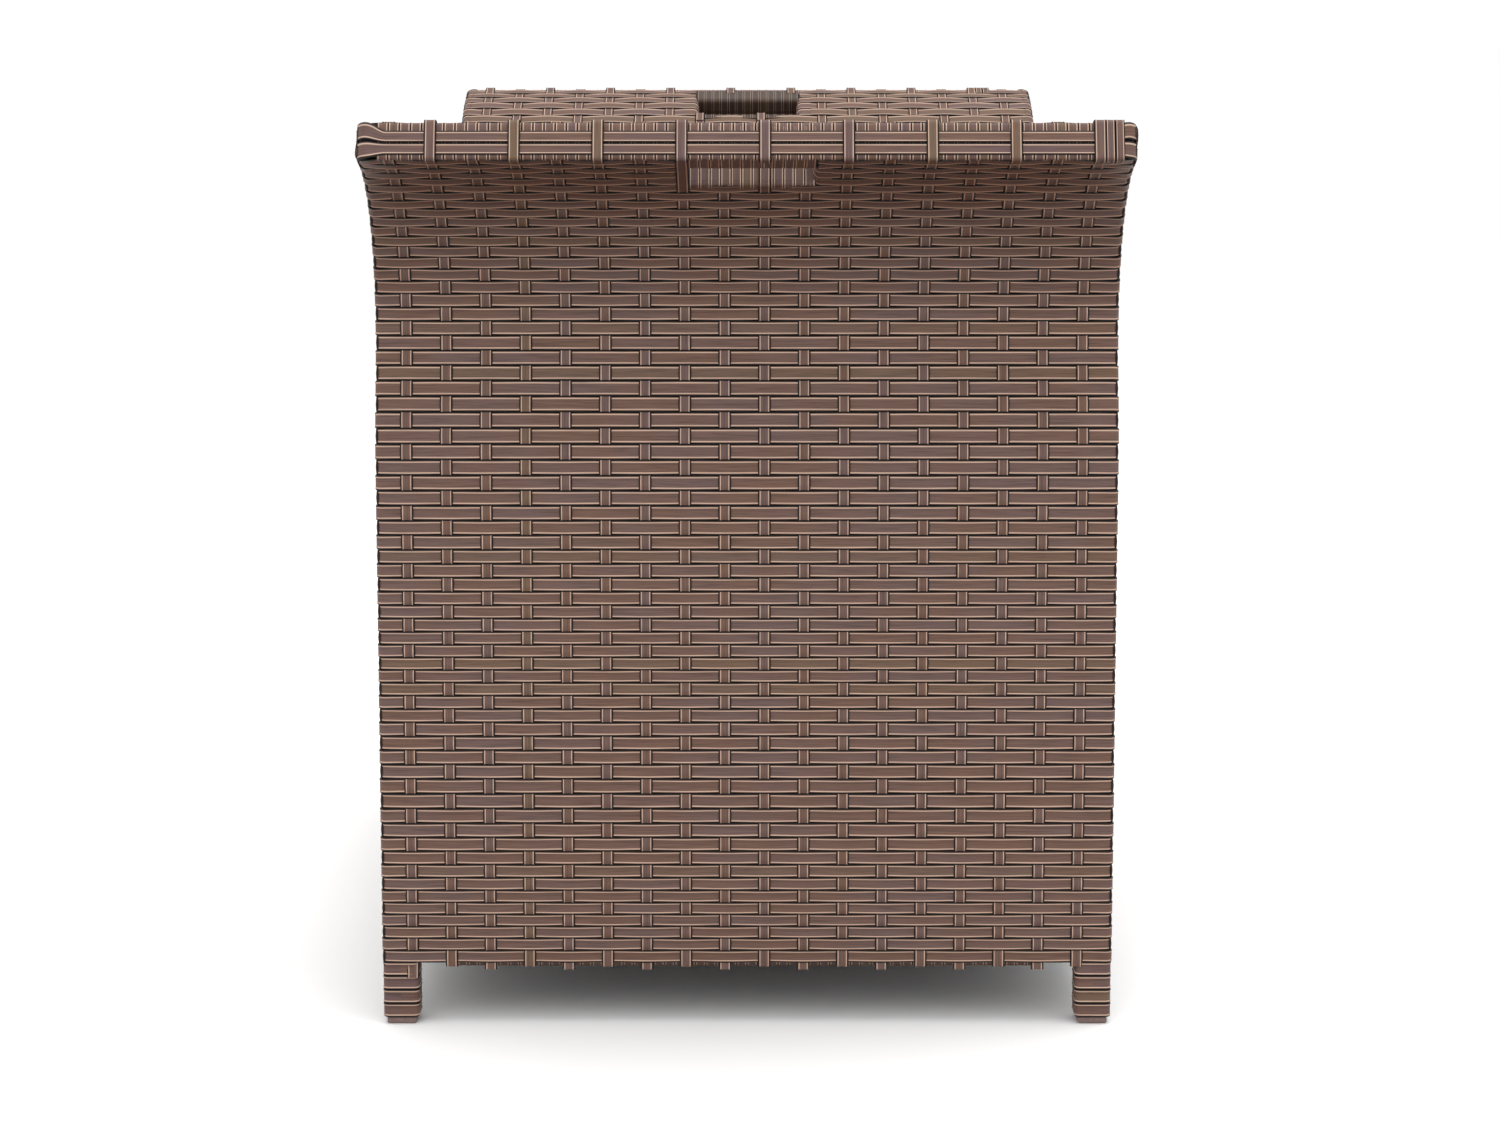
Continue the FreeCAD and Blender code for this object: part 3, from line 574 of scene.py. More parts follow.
WICKER = wicker_material(
    "wicker",
    brown=(0.122, 0.066, 0.047, 1.0),
    dusk=(0.112, 0.068, 0.060, 1.0),
    olive=(0.122, 0.075, 0.045, 1.0),
    pale=(0.52, 0.355, 0.27, 1.0),
)
WRAP = wicker_material(
    "wicker_wrap",
    brown=(0.124, 0.068, 0.050, 1.0),
    dusk=(0.104, 0.062, 0.060, 1.0),
    olive=(0.126, 0.082, 0.045, 1.0),
    pale=(0.54, 0.38, 0.285, 1.0),
)
# A darker copy of the wrap: painted shade for the far hand slot's lining, which lies in shadow.
WRAP_PAINTED_SHADE = wicker_material(
    "wicker_wrap_painted_shade",
    brown=(0.052, 0.030, 0.022, 1.0),
    dusk=(0.046, 0.026, 0.021, 1.0),
    olive=(0.058, 0.033, 0.021, 1.0),
    pale=(0.20, 0.145, 0.105, 1.0),
)
STEEL = speckled_material(
    "powder_coat", (0.030, 0.022, 0.018, 1), (0.045, 0.034, 0.028, 1), 900.0, 0.45
)
PLASTIC = speckled_material(
    "foot_plastic", (0.150, 0.095, 0.085, 1), (0.190, 0.125, 0.110, 1), 500.0, 0.45
)
ZINC = speckled_material(
    "zinc", (0.55, 0.56, 0.57, 1), (0.68, 0.69, 0.70, 1), 700.0, 0.25, Metallic=1.0
)
GLASS = clear_material("clear_glass", (0.93, 0.975, 0.955, 1.0), 0.02)
RUBBER = speckled_material(
    "clear_rubber", (0.70, 0.72, 0.72, 1), (0.78, 0.80, 0.80, 1), 300.0, 0.35,
    Subsurface_Weight=0.3, Subsurface_Scale=0.002,
)


# ---------------------------------------------------------------- end panels


def world_face(points, end):
    """(out, up) points of an end panel as 3D points of the frame."""
    sign = -1 if end == "near" else 1
    return [(0.0, sign * (WALL_HALF + out), up) for out, up in points]


def run_of(end):
    """Which way a panel's p runs: to the right, seen from outside."""
    return (1.0, 0.0, 0.0) if end == "near" else (-1.0, 0.0, 0.0)


SIDE_X = HALF_WIDTH - SKIN_MIDDLE
BACK_DEPTH = PANEL_DEPTH - SKIN_MIDDLE
TUCK = 5.5 * MM  # how far a row turns in behind the panel's side
OUTER_PLAN = rounded(
    [
        (TUCK - SIDE_X, -BACK_DEPTH), (-SIDE_X, -BACK_DEPTH), (-SIDE_X, -SKIN_MIDDLE),
        (SIDE_X, -SKIN_MIDDLE), (SIDE_X, -BACK_DEPTH), (SIDE_X - TUCK, -BACK_DEPTH),
    ],
    CORNER,
)
OUTER_MIDDLE = path_length(OUTER_PLAN) / 2
CORNER_RUN = CORNER * math.pi / 2
SIDE_START = SIDE_X - CORNER + CORNER_RUN  # p, from the middle, where the side's flat starts
SIDE_STOP = SIDE_START + BACK_DEPTH - SKIN_MIDDLE - 2 * CORNER
SIDE_STAKES = (SIDE_START + 1.3 * MM, SIDE_STOP - 3.7 * MM)
INNER_HALF = 245 * MM
SPARE = 10 * MM  # how far the inner weave's turns are known past its ends
ROW_GAP = 3 * MM  # from the hand slot to the rows beside the rim bar
STAKE_PAST_SLOT = 3 * MM  # how far inside the slot's side a stake still runs up past the slot
LEAST_STEP = 0.7 * MM  # between two points of a row


def stake_places(end):
    """The panel's stakes from left to right, as p from the middle; the far end mirrors the near."""
    places = [FIRST_STAKE + STAKE_PITCH * i for i in range(STAKES)]
    if end == "far":
        places = [-place for place in reversed(places)]
    return places


def all_knots(end):
    """(p, turn) knots across a panel and its sides, one turn for each stake."""
    front = stake_places(end)
    places = [-SIDE_STAKES[1], -SIDE_STAKES[0], *front, SIDE_STAKES[0], SIDE_STAKES[1]]
    knots = [(place, index - 2) for index, place in enumerate(places)]
    knots.insert(0, (-OUTER_MIDDLE, -2.7))
    knots.append((OUTER_MIDDLE, STAKES + 1.7))
    return knots


def turn_at(knots, p):
    """The turn at a place between the knots."""
    for (p_0, turn_0), (p_1, turn_1) in zip(knots, knots[1:]):
        if p <= p_1 or p_1 == knots[-1][0]:
            return turn_0 + (turn_1 - turn_0) * (p - p_0) / (p_1 - p_0)
    return knots[-1][1]


def weft_stops(knots, start, stop, bends):
    """Where a row of weft has points: quarters of every turn, and closer round the bends."""
    stops = [start, stop]
    for (p_0, _), (p_1, _) in zip(knots, knots[1:]):
        stops += [p_0 + (p_1 - p_0) * i / 4 for i in range(4)]
    for first, last in bends:
        stops = [p for p in stops if not first < p < last]
        stops += [first + (last - first) * i / 4 for i in range(5)]
    stops = sorted(p for p in stops if start <= p <= stop)
    kept = [stops[0]]
    for p in stops[1:]:
        if p - kept[-1] > LEAST_STEP:
            kept.append(p)
    kept[-1] = stop
    return kept


ROW_COVER = 1.05  # how much of the space between its neighbours a row covers


def breadth_of(row):
    """How broad a row's strand lies, set by the space between its neighbours."""
    low = ROWS[max(row - 1, 0)]
    high = ROWS[min(row + 1, LAST_ROW)]
    count = min(row + 1, LAST_ROW) - max(row - 1, 0)
    return ROW_COVER * (high - low) / count / WEFT_WIDTH


def lay_row(loom, row, knots, spans, parity, middle, bends=(), place=None):
    """Lays one row of weft over the given spans of p, which are measured from the middle."""
    s = ROWS[row] if place is None else place
    breadth = breadth_of(row) if place is None else 1.0
    for start, stop in spans:
        points = []
        for p in weft_stops(knots, start, stop, bends):
            points.append((p + middle, s, turn_at(knots, p) + row + parity, 0.0, 1.0, breadth))
        loom.strand(points)


def outer_bends():
    """The stretches of p where the outer plan turns its corners."""
    near = (SIDE_START - CORNER_RUN, SIDE_START)
    far = (SIDE_STOP, SIDE_STOP + CORNER_RUN)
    return [near, far, (-near[1], -near[0]), (-far[1], -far[0])]


def lay_stake(loom, p, turns, parity, held=None):
    """Lays one stake through (s, turn) pairs, three steps to a turn; it lies on top where held."""
    points = []
    for (s_0, turn_0), (s_1, turn_1) in zip(turns, turns[1:]):
        steps = max(1, round(3 * abs(turn_1 - turn_0)))
        for i in range(steps):
            share = i / steps
            points.append((s_0 + (s_1 - s_0) * share, turn_0 + (turn_1 - turn_0) * share))
    points.append(turns[-1])
    laid = []
    for s, turn in points:
        if held and held[0] <= s <= held[1]:
            laid.append((p, s, 0.0, 0.0, 1.0, 1.0))
        else:
            laid.append((p, s, turn + parity + 1, 0.0, 1.0, 1.0))
    loom.strand(laid)


def row_turns(first, last):
    """(s, turn) pairs of the rows from first to last."""
    return [(ROWS[row], row) for row in range(first, last + 1)]


SLOT_STARTS = flare_distance(SLOT_ANGLES[0])
SLOT_STOPS = flare_distance(SLOT_ANGLES[1])
RIM_BAND = RIM_END - 2.5 * MM
STAKE_STOP = 1.5 * MM  # how far below the hand slot a stake ends
TAB = 2 * MM  # how far every other stake reaches past the bottom edge
LEG_TAIL = 8 * MM  # the first stake's longer tail, over the leg


def outer_stakes(end):
    """The loom of an outer face's stakes."""
    loom = Loom()
    foot = WEAVE_BOTTOM - GUIDE_FOOT
    for index, place in enumerate(stake_places(end)):
        on_top_last = index % 2 == 1
        tail = foot if on_top_last else foot - TAB
        if index == 0 and end == "near":
            tail = foot - LEG_TAIL
        turns = [(tail, -0.45 if on_top_last else -0.9)] + row_turns(0, LAST_ROW)
        turns.append((RIM_BAND, LAST_ROW + 0.8))
        p = place + OUTER_MIDDLE
        if abs(place) < SLOT_HALF - STAKE_PAST_SLOT:
            below = [turn for turn in turns if turn[0] < SLOT_STARTS]
            lay_stake(loom, p, below + [(SLOT_STARTS - STAKE_STOP, below[-1][1] + 0.7)], index)
        elif abs(place) < SLOT_HALF:
            lay_stake(loom, p, turns, index, held=(ROWS[SLOT_ROWS[0] - 1] - 1 * MM, RIM_END))
        else:
            lay_stake(loom, p, turns, index)
    for side in (-1, 1):
        for step, place in enumerate(SIDE_STAKES):
            index = -1 - step if side < 0 else STAKES + step
            turns = [(foot, -0.45)] + row_turns(0, LAST_ROW) + [(RIM_BAND - 6 * MM, LAST_ROW + 0.3)]
            lay_stake(loom, side * place + OUTER_MIDDLE, turns, index)
    return loom


def outer_rows(end):
    """The loom of an outer face's rows of weft."""
    loom = Loom()
    knots = all_knots(end)
    full = OUTER_MIDDLE - 0.1 * MM
    for row in range(LAST_ROW + 1):
        reach = SIDE_STOP + 0.4 * MM if row <= DECK_ROW else full
        spans = [(-reach, reach)]
        if row in SLOT_ROWS:
            spans = [(-reach, -SLOT_TURN_IN), (SLOT_TURN_IN, reach)]
        elif row > SLOT_ROWS[-1]:
            spans = [(-reach, -SLOT_HALF - ROW_GAP), (SLOT_HALF + ROW_GAP, reach)]
        lay_row(loom, row, knots, spans, 0, OUTER_MIDDLE, bends=outer_bends())
    return loom


def make_outer_weave(end, seed):
    """The woven outer face of an end panel, with its sides."""
    face = guide("face_line", world_face(OUTER_FACE, end))
    plan = flat_guide("outer_plan", OUTER_PLAN)
    run = run_of(end)
    rows = woven(outer_rows(end), face, plan, run, WICKER, seed)
    stakes = woven(outer_stakes(end), face, plan, run, WICKER, seed + 1, width=STAKE_WIDTH)
    drop(face, plan)
    fold([rows, stakes], f"{end}_outer_strands", "table", "wicker", f"{end}_outer_weave")


def make_inner_weave(end, seed):
    """The woven inner face of an end panel, above the deck."""
    face = guide("face_line", world_face(OUTER_FACE, end))
    plan = flat_guide("inner_plan", [(INNER_HALF, -BACK_DEPTH), (-INNER_HALF, -BACK_DEPTH)])
    run = run_of(end)
    front = [-place for place in reversed(stake_places(end))]
    knots = [(-INNER_HALF - SPARE, STAKES)]
    knots += [(p, STAKES - 1 - i) for i, p in enumerate(front)]
    knots.append((INNER_HALF + SPARE, -1.0))
    rows = Loom()
    for row in range(DECK_ROW + 1, LAST_ROW + 1):
        spans = [(-INNER_HALF, INNER_HALF)]
        if row in SLOT_ROWS:
            spans = [(-INNER_HALF, -SLOT_TURN_IN), (SLOT_TURN_IN, INNER_HALF)]
        elif row > SLOT_ROWS[-1]:
            spans = [(-INNER_HALF, -SLOT_HALF - ROW_GAP), (SLOT_HALF + ROW_GAP, INNER_HALF)]
        lay_row(rows, row, knots, spans, 1, INNER_HALF)
    stakes = Loom()
    for p, index in knots[1:-1]:
        turns = [(ROWS[DECK_ROW] + 2 * MM, DECK_ROW + 0.2)] + row_turns(DECK_ROW + 1, LAST_ROW)
        turns.append((RIM_BAND, LAST_ROW + 0.8))
        if abs(p) < SLOT_HALF:
            turns = [turn for turn in turns if turn[0] < SLOT_STARTS]
            turns.append((SLOT_STARTS - STAKE_STOP, turns[-1][1] + 0.7))
        lay_stake(stakes, p + INNER_HALF, turns, index + 1)
    row_mesh = woven(rows, face, plan, run, WICKER, seed)
    stake_mesh = woven(stakes, face, plan, run, WICKER, seed + 1, width=STAKE_WIDTH)
    drop(face, plan)
    fold([row_mesh, stake_mesh], f"{end}_inner_strands", "table", "wicker", f"{end}_inner_weave")


for number, end_name in enumerate(ENDS):
    make_outer_weave(end_name, 10 + 40 * number)
    make_inner_weave(end_name, 20 + 40 * number)


# ---------------------------------------------------------------- rims and hand slots


def lay_loops(places, length, steps):
    """A loom of side-by-side loops at the given p places, each running the whole face line."""
    loom = Loom()
    for p in places:
        loom.strand([(p, length * i / steps, 0.0, 0.0, 0.0, 1.0) for i in range(steps + 1)])
    return loom


LOOP_CORNER = 1.6 * MM


def panel_path(corners, end):
    """3D points of a rounded path given as (s, depth) corners in an end panel."""
    path = rounded(corners, LOOP_CORNER)
    return world_face([panel_point(s, depth) for s, depth in path], end)


PLAN_HALF = 1.0  # half a straight plan, longer than any piece


def straight_plan():
    """A plan that runs straight across."""
    return flat_guide("straight_plan", [(-PLAN_HALF, 0.0), (PLAN_HALF, 0.0)])


def even_places(start, stop, pitch):
    """Evenly spread places from start to stop, close to the pitch apart."""
    count = max(1, round((stop - start) / pitch))
    return [start + (stop - start) * i / count for i in range(count + 1)]


def shifted(places):
    """Places measured from the start of the straight plan."""
    return [place + PLAN_HALF for place in places]


CLOSE_PITCH = 7.1 * MM
WRAP_THICK = 1.2 * MM
WRAP_WIDTH = 7.9 * MM
LOOP_STEPS = 26
RIM_LINE = (-4, 31)  # depths in millimetres where the line across the rim face starts and stops
RIM_STRANDS = ((15.6, 19.4), (7.5, 6.9))  # each strand's depth in millimetres: midway, at the ends
RIM_STRAND_WIDTH = 7.7 * MM
RIM_REACH = 247.6 * MM  # half the rim, to the middle of the strands that turn round its ends
RIM_LOOPS = (-232 * MM, 236 * MM)  # where the close loops over the rim start and stop
FAN_START = 230 * MM
FAN_STOP = 244 * MM
FAN_STEP = 1.8 * MM
FAN_GROWTH = 0.55  # how much broader the strands lie at the rim's ends
END_WRAP_WIDTH = 6.0 * MM
END_WRAP_STEP = 6.3 * MM


def loops_piece(corners, places, end, seed, width=WRAP_WIDTH, steps=LOOP_STEPS, material=WRAP):
    """The mesh of loops round a part of an end panel, along (s, depth) corners."""
    path = panel_path(corners, end)
    face = guide("loop_line", path)
    plan = straight_plan()
    loom = lay_loops(shifted(places), path_length(path), steps)
    mesh = woven(loom, face, plan, run_of(end), material, seed, width=width, thick=WRAP_THICK)
    drop(face, plan)
    return mesh


def rim_strands(end, seed):
    """The two flat strands along the rim, which fan out and turn round its ends."""
    rim_face = world_face([panel_point(RIM_END - 0.5 * MM, d * MM) for d in RIM_LINE], end)
    face = guide("rim_line", rim_face)
    side = -21 * MM
    corners = [(-RIM_REACH, side), (-RIM_REACH, 0.0), (RIM_REACH, 0.0), (RIM_REACH, side)]
    path = rounded(corners, 7 * MM)
    middle = path_length(path) / 2
    plan = flat_guide("rim_plan", path)
    loom = Loom()
    for inner, outer in RIM_STRANDS:
        places = even_places(-middle, -FAN_START, FAN_STEP)
        places += even_places(-FAN_START, FAN_START, 26 * MM)[1:-1]
        places += even_places(FAN_START, middle, FAN_STEP)
        points = []
        for p in places:
            share = min(max((abs(p) - FAN_START) / (FAN_STOP - FAN_START), 0.0), 1.0)
            share = share * share * (3 - 2 * share)
            s = (inner - RIM_LINE[0] + (outer - inner) * share) * MM
            breadth = 1.0 + FAN_GROWTH * share
            points.append((p + middle, s, 0.0, 0.5 * MM * share, 0.0, breadth))
        loom.strand(points)
    run = run_of(end)
    mesh = woven(loom, face, plan, run, WRAP, seed, width=RIM_STRAND_WIDTH, thick=WRAP_THICK)
    drop(face, plan)
    return mesh


def make_rim_binding(end, seed):
    """The rim: close loops over its edge, two flat strands along them, and the binding loops."""
    edge = RIM_END - 1.7 * MM
    back = RIM_END - 9 * MM
    under = [(back, 3.6 * MM), (edge - 3 * MM, 1.5 * MM), (edge, 1.5 * MM)]
    under += [(edge, 25.1 * MM), (edge - 3 * MM, 25.1 * MM), (back, 23 * MM)]
    over_edge = RIM_END + 0.6 * MM
    over = [(back - 2 * MM, 1.2 * MM), (edge - 3 * MM, 0.1 * MM), (over_edge, 0.1 * MM)]
    over += [(over_edge, 26.5 * MM), (edge - 3 * MM, 26.5 * MM), (back - 2 * MM, 25.2 * MM)]
    meshes = [loops_piece(under, even_places(*RIM_LOOPS, CLOSE_PITCH), end, seed)]
    meshes.append(rim_strands(end, seed + 1))
    bound = stake_places(end)[1::2]
    meshes.append(loops_piece(over, bound, end, seed + 2))
    last = max(bound) if end == "near" else min(bound)
    step = END_WRAP_STEP if end == "near" else -END_WRAP_STEP
    extra = [last + 1.04 * step, last + 2 * step]
    meshes.append(loops_piece(over, extra, end, seed + 3, width=END_WRAP_WIDTH))
    fold(meshes, f"{end}_rim_strands", "table", "wicker_wrap", f"{end}_rim_binding")


SLOT_PITCH = 6.9 * MM
NEAR_SLOT_STAKE = 11.6 * MM  # p of the one stake that loops over the near slot's bar
SLOT_SIDE_STEPS = 24


def make_slot_binding(end, seed):
    """The hand slot's lining: loops over its bar, round the rim bar and round both its sides."""
    low = SLOT_STARTS + 0.2 * MM
    high = SLOT_STOPS - 0.2 * MM
    rim = RIM_END - 1.9 * MM
    foot = low - 5.5 * MM
    bar = [(foot, 1.2 * MM), (low, 1.2 * MM), (low, 25.4 * MM), (foot, 25.4 * MM)]
    rim_bar = [(high, 14 * MM), (high, 1.6 * MM), (rim, 1.6 * MM)]
    rim_bar += [(rim, 25.0 * MM), (high, 25.0 * MM), (high, 13 * MM)]
    across = even_places(-SLOT_HALF + 2 * MM, SLOT_HALF - 2 * MM, SLOT_PITCH)
    # The far slot's lining gets the darker copy of the wrap: painted shade for the shadow inside that
    # slot.
    lining = WRAP_PAINTED_SHADE if end == "far" else WRAP
    meshes = [
        loops_piece(bar, across, end, seed, material=lining),
        loops_piece(rim_bar, across, end, seed + 1, steps=40, material=lining),
    ]
    over = [NEAR_SLOT_STAKE]
    if end == "far":
        over = [p for p in stake_places(end) if abs(p) < SLOT_HALF][1::2]
    over_bar = [(low - 9 * MM, 0.2 * MM), (low + 1.3 * MM, 0.0), (low + 1.3 * MM, 26.4 * MM)]
    over_bar.append((low - 9 * MM, 26.6 * MM))
    meshes.append(loops_piece(over_bar, over, end, seed + 2))
    face = guide("face_line", world_face(OUTER_FACE, end))
    for side in (-1, 1):
        edge = side * (SLOT_HALF + 0.6 * MM)
        start = side * SLOT_TURN_IN
        corners = [
            (start, -SKIN_MIDDLE), (edge, -SKIN_MIDDLE), (edge, -BACK_DEPTH), (start, -BACK_DEPTH)
        ]
        if side > 0:
            corners.reverse()
        path = rounded(corners, 4 * MM)
        plan = flat_guide("slot_plan", path)
        loom = Loom()
        length = path_length(path)
        for row in SLOT_ROWS:
            points = []
            for i in range(SLOT_SIDE_STEPS + 1):
                p = length * i / SLOT_SIDE_STEPS
                points.append((p, ROWS[row], 0.0, 0.0, 0.0, breadth_of(row)))
            loom.strand(points)
        meshes.append(woven(loom, face, plan, run_of(end), WICKER, seed + 3 + side))
        drop(plan)
    drop(face)
    fold(meshes, f"{end}_slot_strands", "table", "wicker_wrap", f"{end}_slot_binding")


# ---------------------------------------------------------------- bottom edges and legs


def ring_path(low, high, radius):
    """Points round an upright rectangle from low to high corners, starting mid-side."""
    x_0, y_0 = low
    x_1, y_1 = high
    lap = [(x_1, y_1), (x_1, y_0), (x_0, y_0), (x_0, y_1)]
    start = ((x_0 + x_1) / 2, y_1)
    return rounded([start, *lap, start], radius)


RING_STEPS = 20
RING_CORNER = 1.2 * MM
RING_WIDTH = 8.0 * MM


def make_bottom_binding(node, end_or_side, seed):
    """Close loops round a bottom rail."""
    low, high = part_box(node)
    across = 1 if end_or_side in ENDS else 0
    sign = -1 if end_or_side in ("near", "left") else 1
    near = min(abs(low[across]), abs(high[across])) + 0.6 * MM
    far = max(abs(low[across]), abs(high[across])) + 0.8 * MM
    bottom = low.z - 0.4 * MM
    top = bottom + (far - near)
    path = ring_path((-far, bottom), (-near, top), RING_CORNER)
    if across == 1:
        points = [(0.0, y * -sign, z) for y, z in path]
        run = (-float(sign), 0.0, 0.0)
    else:
        points = [(x * -sign, 0.0, z) for x, z in path]
        run = (0.0, float(sign), 0.0)
    half = max(high[1 - across], -low[1 - across]) - 4 * MM
    face = guide("ring_line", points)
    plan = straight_plan()
    places = shifted(even_places(-half, half, CLOSE_PITCH))
    loom = lay_loops(places, path_length(path), RING_STEPS)
    mesh = woven(loom, face, plan, run, WRAP, seed, width=RING_WIDTH, thick=WRAP_THICK)
    drop(face, plan)
    fold([mesh], f"{node}_strands", "table", "wicker_wrap", node)


LEG_TURN = 9.7 * MM
LEG_WIDTH = 10.2 * MM
LEG_THICK = 2.0 * MM
LEG_TURNS = 4
LEG_STEPS = 60
LEG_HALF = 11.6 * MM  # from the leg's middle to the middle of its strand
LEG_CORNER = 3.2 * MM
LEG_LEAD = 10 * MM  # how far below the leg its line starts


def make_leg_wrap(node, seed):
    """Close turns of strand up a leg, joined where they face under the table."""
    low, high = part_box(node)
    x, y = (low.x + high.x) / 2, (low.y + high.y) / 2
    face = guide("leg_line", [(x, y, low.z - LEG_LEAD), (x, y, high.z + 2 * LEG_LEAD)])
    lap = ring_path((-LEG_HALF, -LEG_HALF), (LEG_HALF, LEG_HALF), LEG_CORNER)
    if y > 0:
        lap = [(-px, -py) for px, py in lap]
    length = path_length(lap)
    plan = guide("leg_plan", [(px, py, 0.0) for px, py in lap])
    loom = Loom()
    for turn in range(LEG_TURNS):
        s = LEG_LEAD + LEG_TURN * (turn + 0.5)
        points = []
        for i in range(LEG_STEPS + 1):
            points.append((length * i / LEG_STEPS, s, 0.0, 0.0, 0.0, 1.0))
        loom.strand(points)
    mesh = woven(loom, face, plan, (1.0, 0.0, 0.0), WRAP, seed, width=LEG_WIDTH, thick=LEG_THICK)
    drop(face, plan)
    fold([mesh], f"{node}_strand", "table", "wicker_wrap", node)


# ---------------------------------------------------------------- skirts and deck

HOOP = rounded(
    [
        (-SIDE_X, GUIDE_FOOT), (-SIDE_X, DECK_TOP - SKIN_MIDDLE),
        (SIDE_X, DECK_TOP - SKIN_MIDDLE), (SIDE_X, GUIDE_FOOT),
    ],
    CORNER,
)
HOOP_LENGTH = path_length(HOOP)
HOOP_STAKES = 24
DECK_ROWS = 52
HOOP_WEFT_WIDTH = 9.95 * MM
SKIRT_HALF = WALL_HALF - SKIN_MIDDLE - CORNER - (SIDE_STOP - SIDE_START) + 0.2 * MM
DECK_HALF = WALL_HALF - PANEL_DEPTH + 1.2 * MM
SIDE_STAKE_Y = WALL_HALF - SKIN_MIDDLE - CORNER - (SIDE_STAKES[1] - SIDE_START)


def hoop_rows():
    """Distance along the hoop of every row: up the left skirt, over the deck, down the right."""
    left = ROWS[: DECK_ROW + 1]
    right = [HOOP_LENGTH - place for place in reversed(left)]
    spacing = (right[0] - left[-1]) / (DECK_ROWS + 1)
    deck = [left[-1] + spacing * (i + 1) for i in range(DECK_ROWS)]
    return left + deck + right


def hoop_knots():
    """(p, turn) knots along a skirt, one turn for each stake."""
    pitch = 2 * SIDE_STAKE_Y / (HOOP_STAKES + 1)
    return [(-SIDE_STAKE_Y + pitch * i, i + 1) for i in range(HOOP_STAKES + 2)]


def make_hoop_piece(name, node, first, last, seed):
    """One part of the woven hoop, from its first to its last row."""
    places = hoop_rows()
    knots = hoop_knots()
    face = guide("hoop_line", [(x, 0.0, z) for x, z in HOOP])
    plan = straight_plan()
    rows = Loom()
    for number in range(first, last + 1):
        half = DECK_HALF if DECK_ROW <= number < len(places) - DECK_ROW else SKIRT_HALF
        lay_row(rows, number, knots, [(-half, half)], 0, PLAN_HALF, place=places[number])
    stakes = Loom()
    for index, (p, _) in enumerate(knots[1:-1]):
        turns = [(places[number], number) for number in range(first, last + 1)]
        step_in = (turns[1][0] - turns[0][0]) / 2
        step_out = (turns[-1][0] - turns[-2][0]) / 2
        turns.insert(0, (turns[0][0] - step_in, first - 0.5))
        turns.append((turns[-1][0] + step_out, last + 0.5))
        lay_stake(stakes, p + PLAN_HALF, turns, index + 2)
    run = (0.0, -1.0, 0.0)
    row_mesh = woven(rows, face, plan, run, WICKER, seed, width=HOOP_WEFT_WIDTH)
    stake_mesh = woven(stakes, face, plan, run, WICKER, seed + 1, width=STAKE_WIDTH)
    drop(face, plan)
    fold([row_mesh, stake_mesh], name, "table", "wicker", node)


# ---------------------------------------------------------------- feet, glass and its pads


def block(whole, low, high, cut):
    """Adds a closed block between two corners, with its edges rounded."""
    made = bmesh.ops.create_cube(whole, size=1.0)
    for vert in made["verts"]:
        for axis in range(3):
            share = vert.co[axis] + 0.5
            vert.co[axis] = low[axis] + (high[axis] - low[axis]) * share
    edges = list({edge for vert in made["verts"] for edge in vert.link_edges})
    bmesh.ops.bevel(whole, geom=edges, offset=cut, segments=3, profile=0.5, affect="EDGES")


SQUARE_ON = 0.999  # a face normal's largest part, from which the face counts as a flat side


def finished(whole, name, body, slot, material, *nodes):
    """Turns a bmesh into a piece on its body, with its flat sides flat and its bends smooth."""
    data = bpy.data.meshes.new(name)
    whole.to_mesh(data)
    whole.free()
    data.materials.append(material)
    for face in data.polygons:
        face.use_smooth = max(abs(part) for part in face.normal) < SQUARE_ON
    data.set_sharp_from_angle(angle=math.radians(40))
    piece = bpy.data.objects.new(name, data)
    bpy.context.scene.collection.objects.link(piece)
    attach(piece, body)
    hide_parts(*nodes)


def make_foot_plug(node):
    """A moulded end plug: a soft-edged pad with a stem up the tube."""
    low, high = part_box(node)
    whole = bmesh.new()
    pad_top = low.z + 5 * MM
    block(whole, (low.x, low.y, low.z), (high.x, high.y, pad_top), 1.4 * MM)
    inset = 1.5 * MM
    stem_low = (low.x + inset, low.y + inset, pad_top - 0.8 * MM)
    stem_high = (high.x - inset, high.y - inset, high.z)
    block(whole, stem_low, stem_high, 0.6 * MM)
    finished(whole, f"{node}_moulding", "table", "foot_plastic", PLASTIC, node)


GLASS_CORNER = 15 * MM
GLASS_BEVEL = 0.8 * MM


def make_glass():
    """The loose plate of tempered glass: round corners and ground edges."""
    low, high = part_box("glass_top")
    whole = bmesh.new()
    corner = GLASS_CORNER
    outline = []
    for x, y, start in (
        (high.x - corner, high.y - corner, 0), (low.x + corner, high.y - corner, 90),
        (low.x + corner, low.y + corner, 180), (high.x - corner, low.y + corner, 270),
    ):
        outline += turned((x, y), corner, start, start + 90, step=7.5)
    bottom = whole.faces.new([whole.verts.new((x, y, low.z)) for x, y in outline])
    bottom.normal_flip()
    made = bmesh.ops.extrude_face_region(whole, geom=[bottom])
    for item in made["geom"]:
        if isinstance(item, bmesh.types.BMVert):
            item.co.z = high.z
    bmesh.ops.recalc_face_normals(whole, faces=whole.faces)
    rims = [edge for edge in whole.edges if edge.verts[0].co.z == edge.verts[1].co.z]
    bmesh.ops.bevel(whole, geom=rims, offset=GLASS_BEVEL, segments=2, profile=0.5, affect="EDGES")
    finished(whole, "glass_plate", "glass", "glass", GLASS, "glass_top")


PAD_RADIUS = 5 * MM
PAD_SIDES = 24
PAD_PROFILE = ((1.0, 0.0), (1.0, 0.45), (0.93, 0.72), (0.72, 0.92), (0.4, 1.0))  # shares, out and up


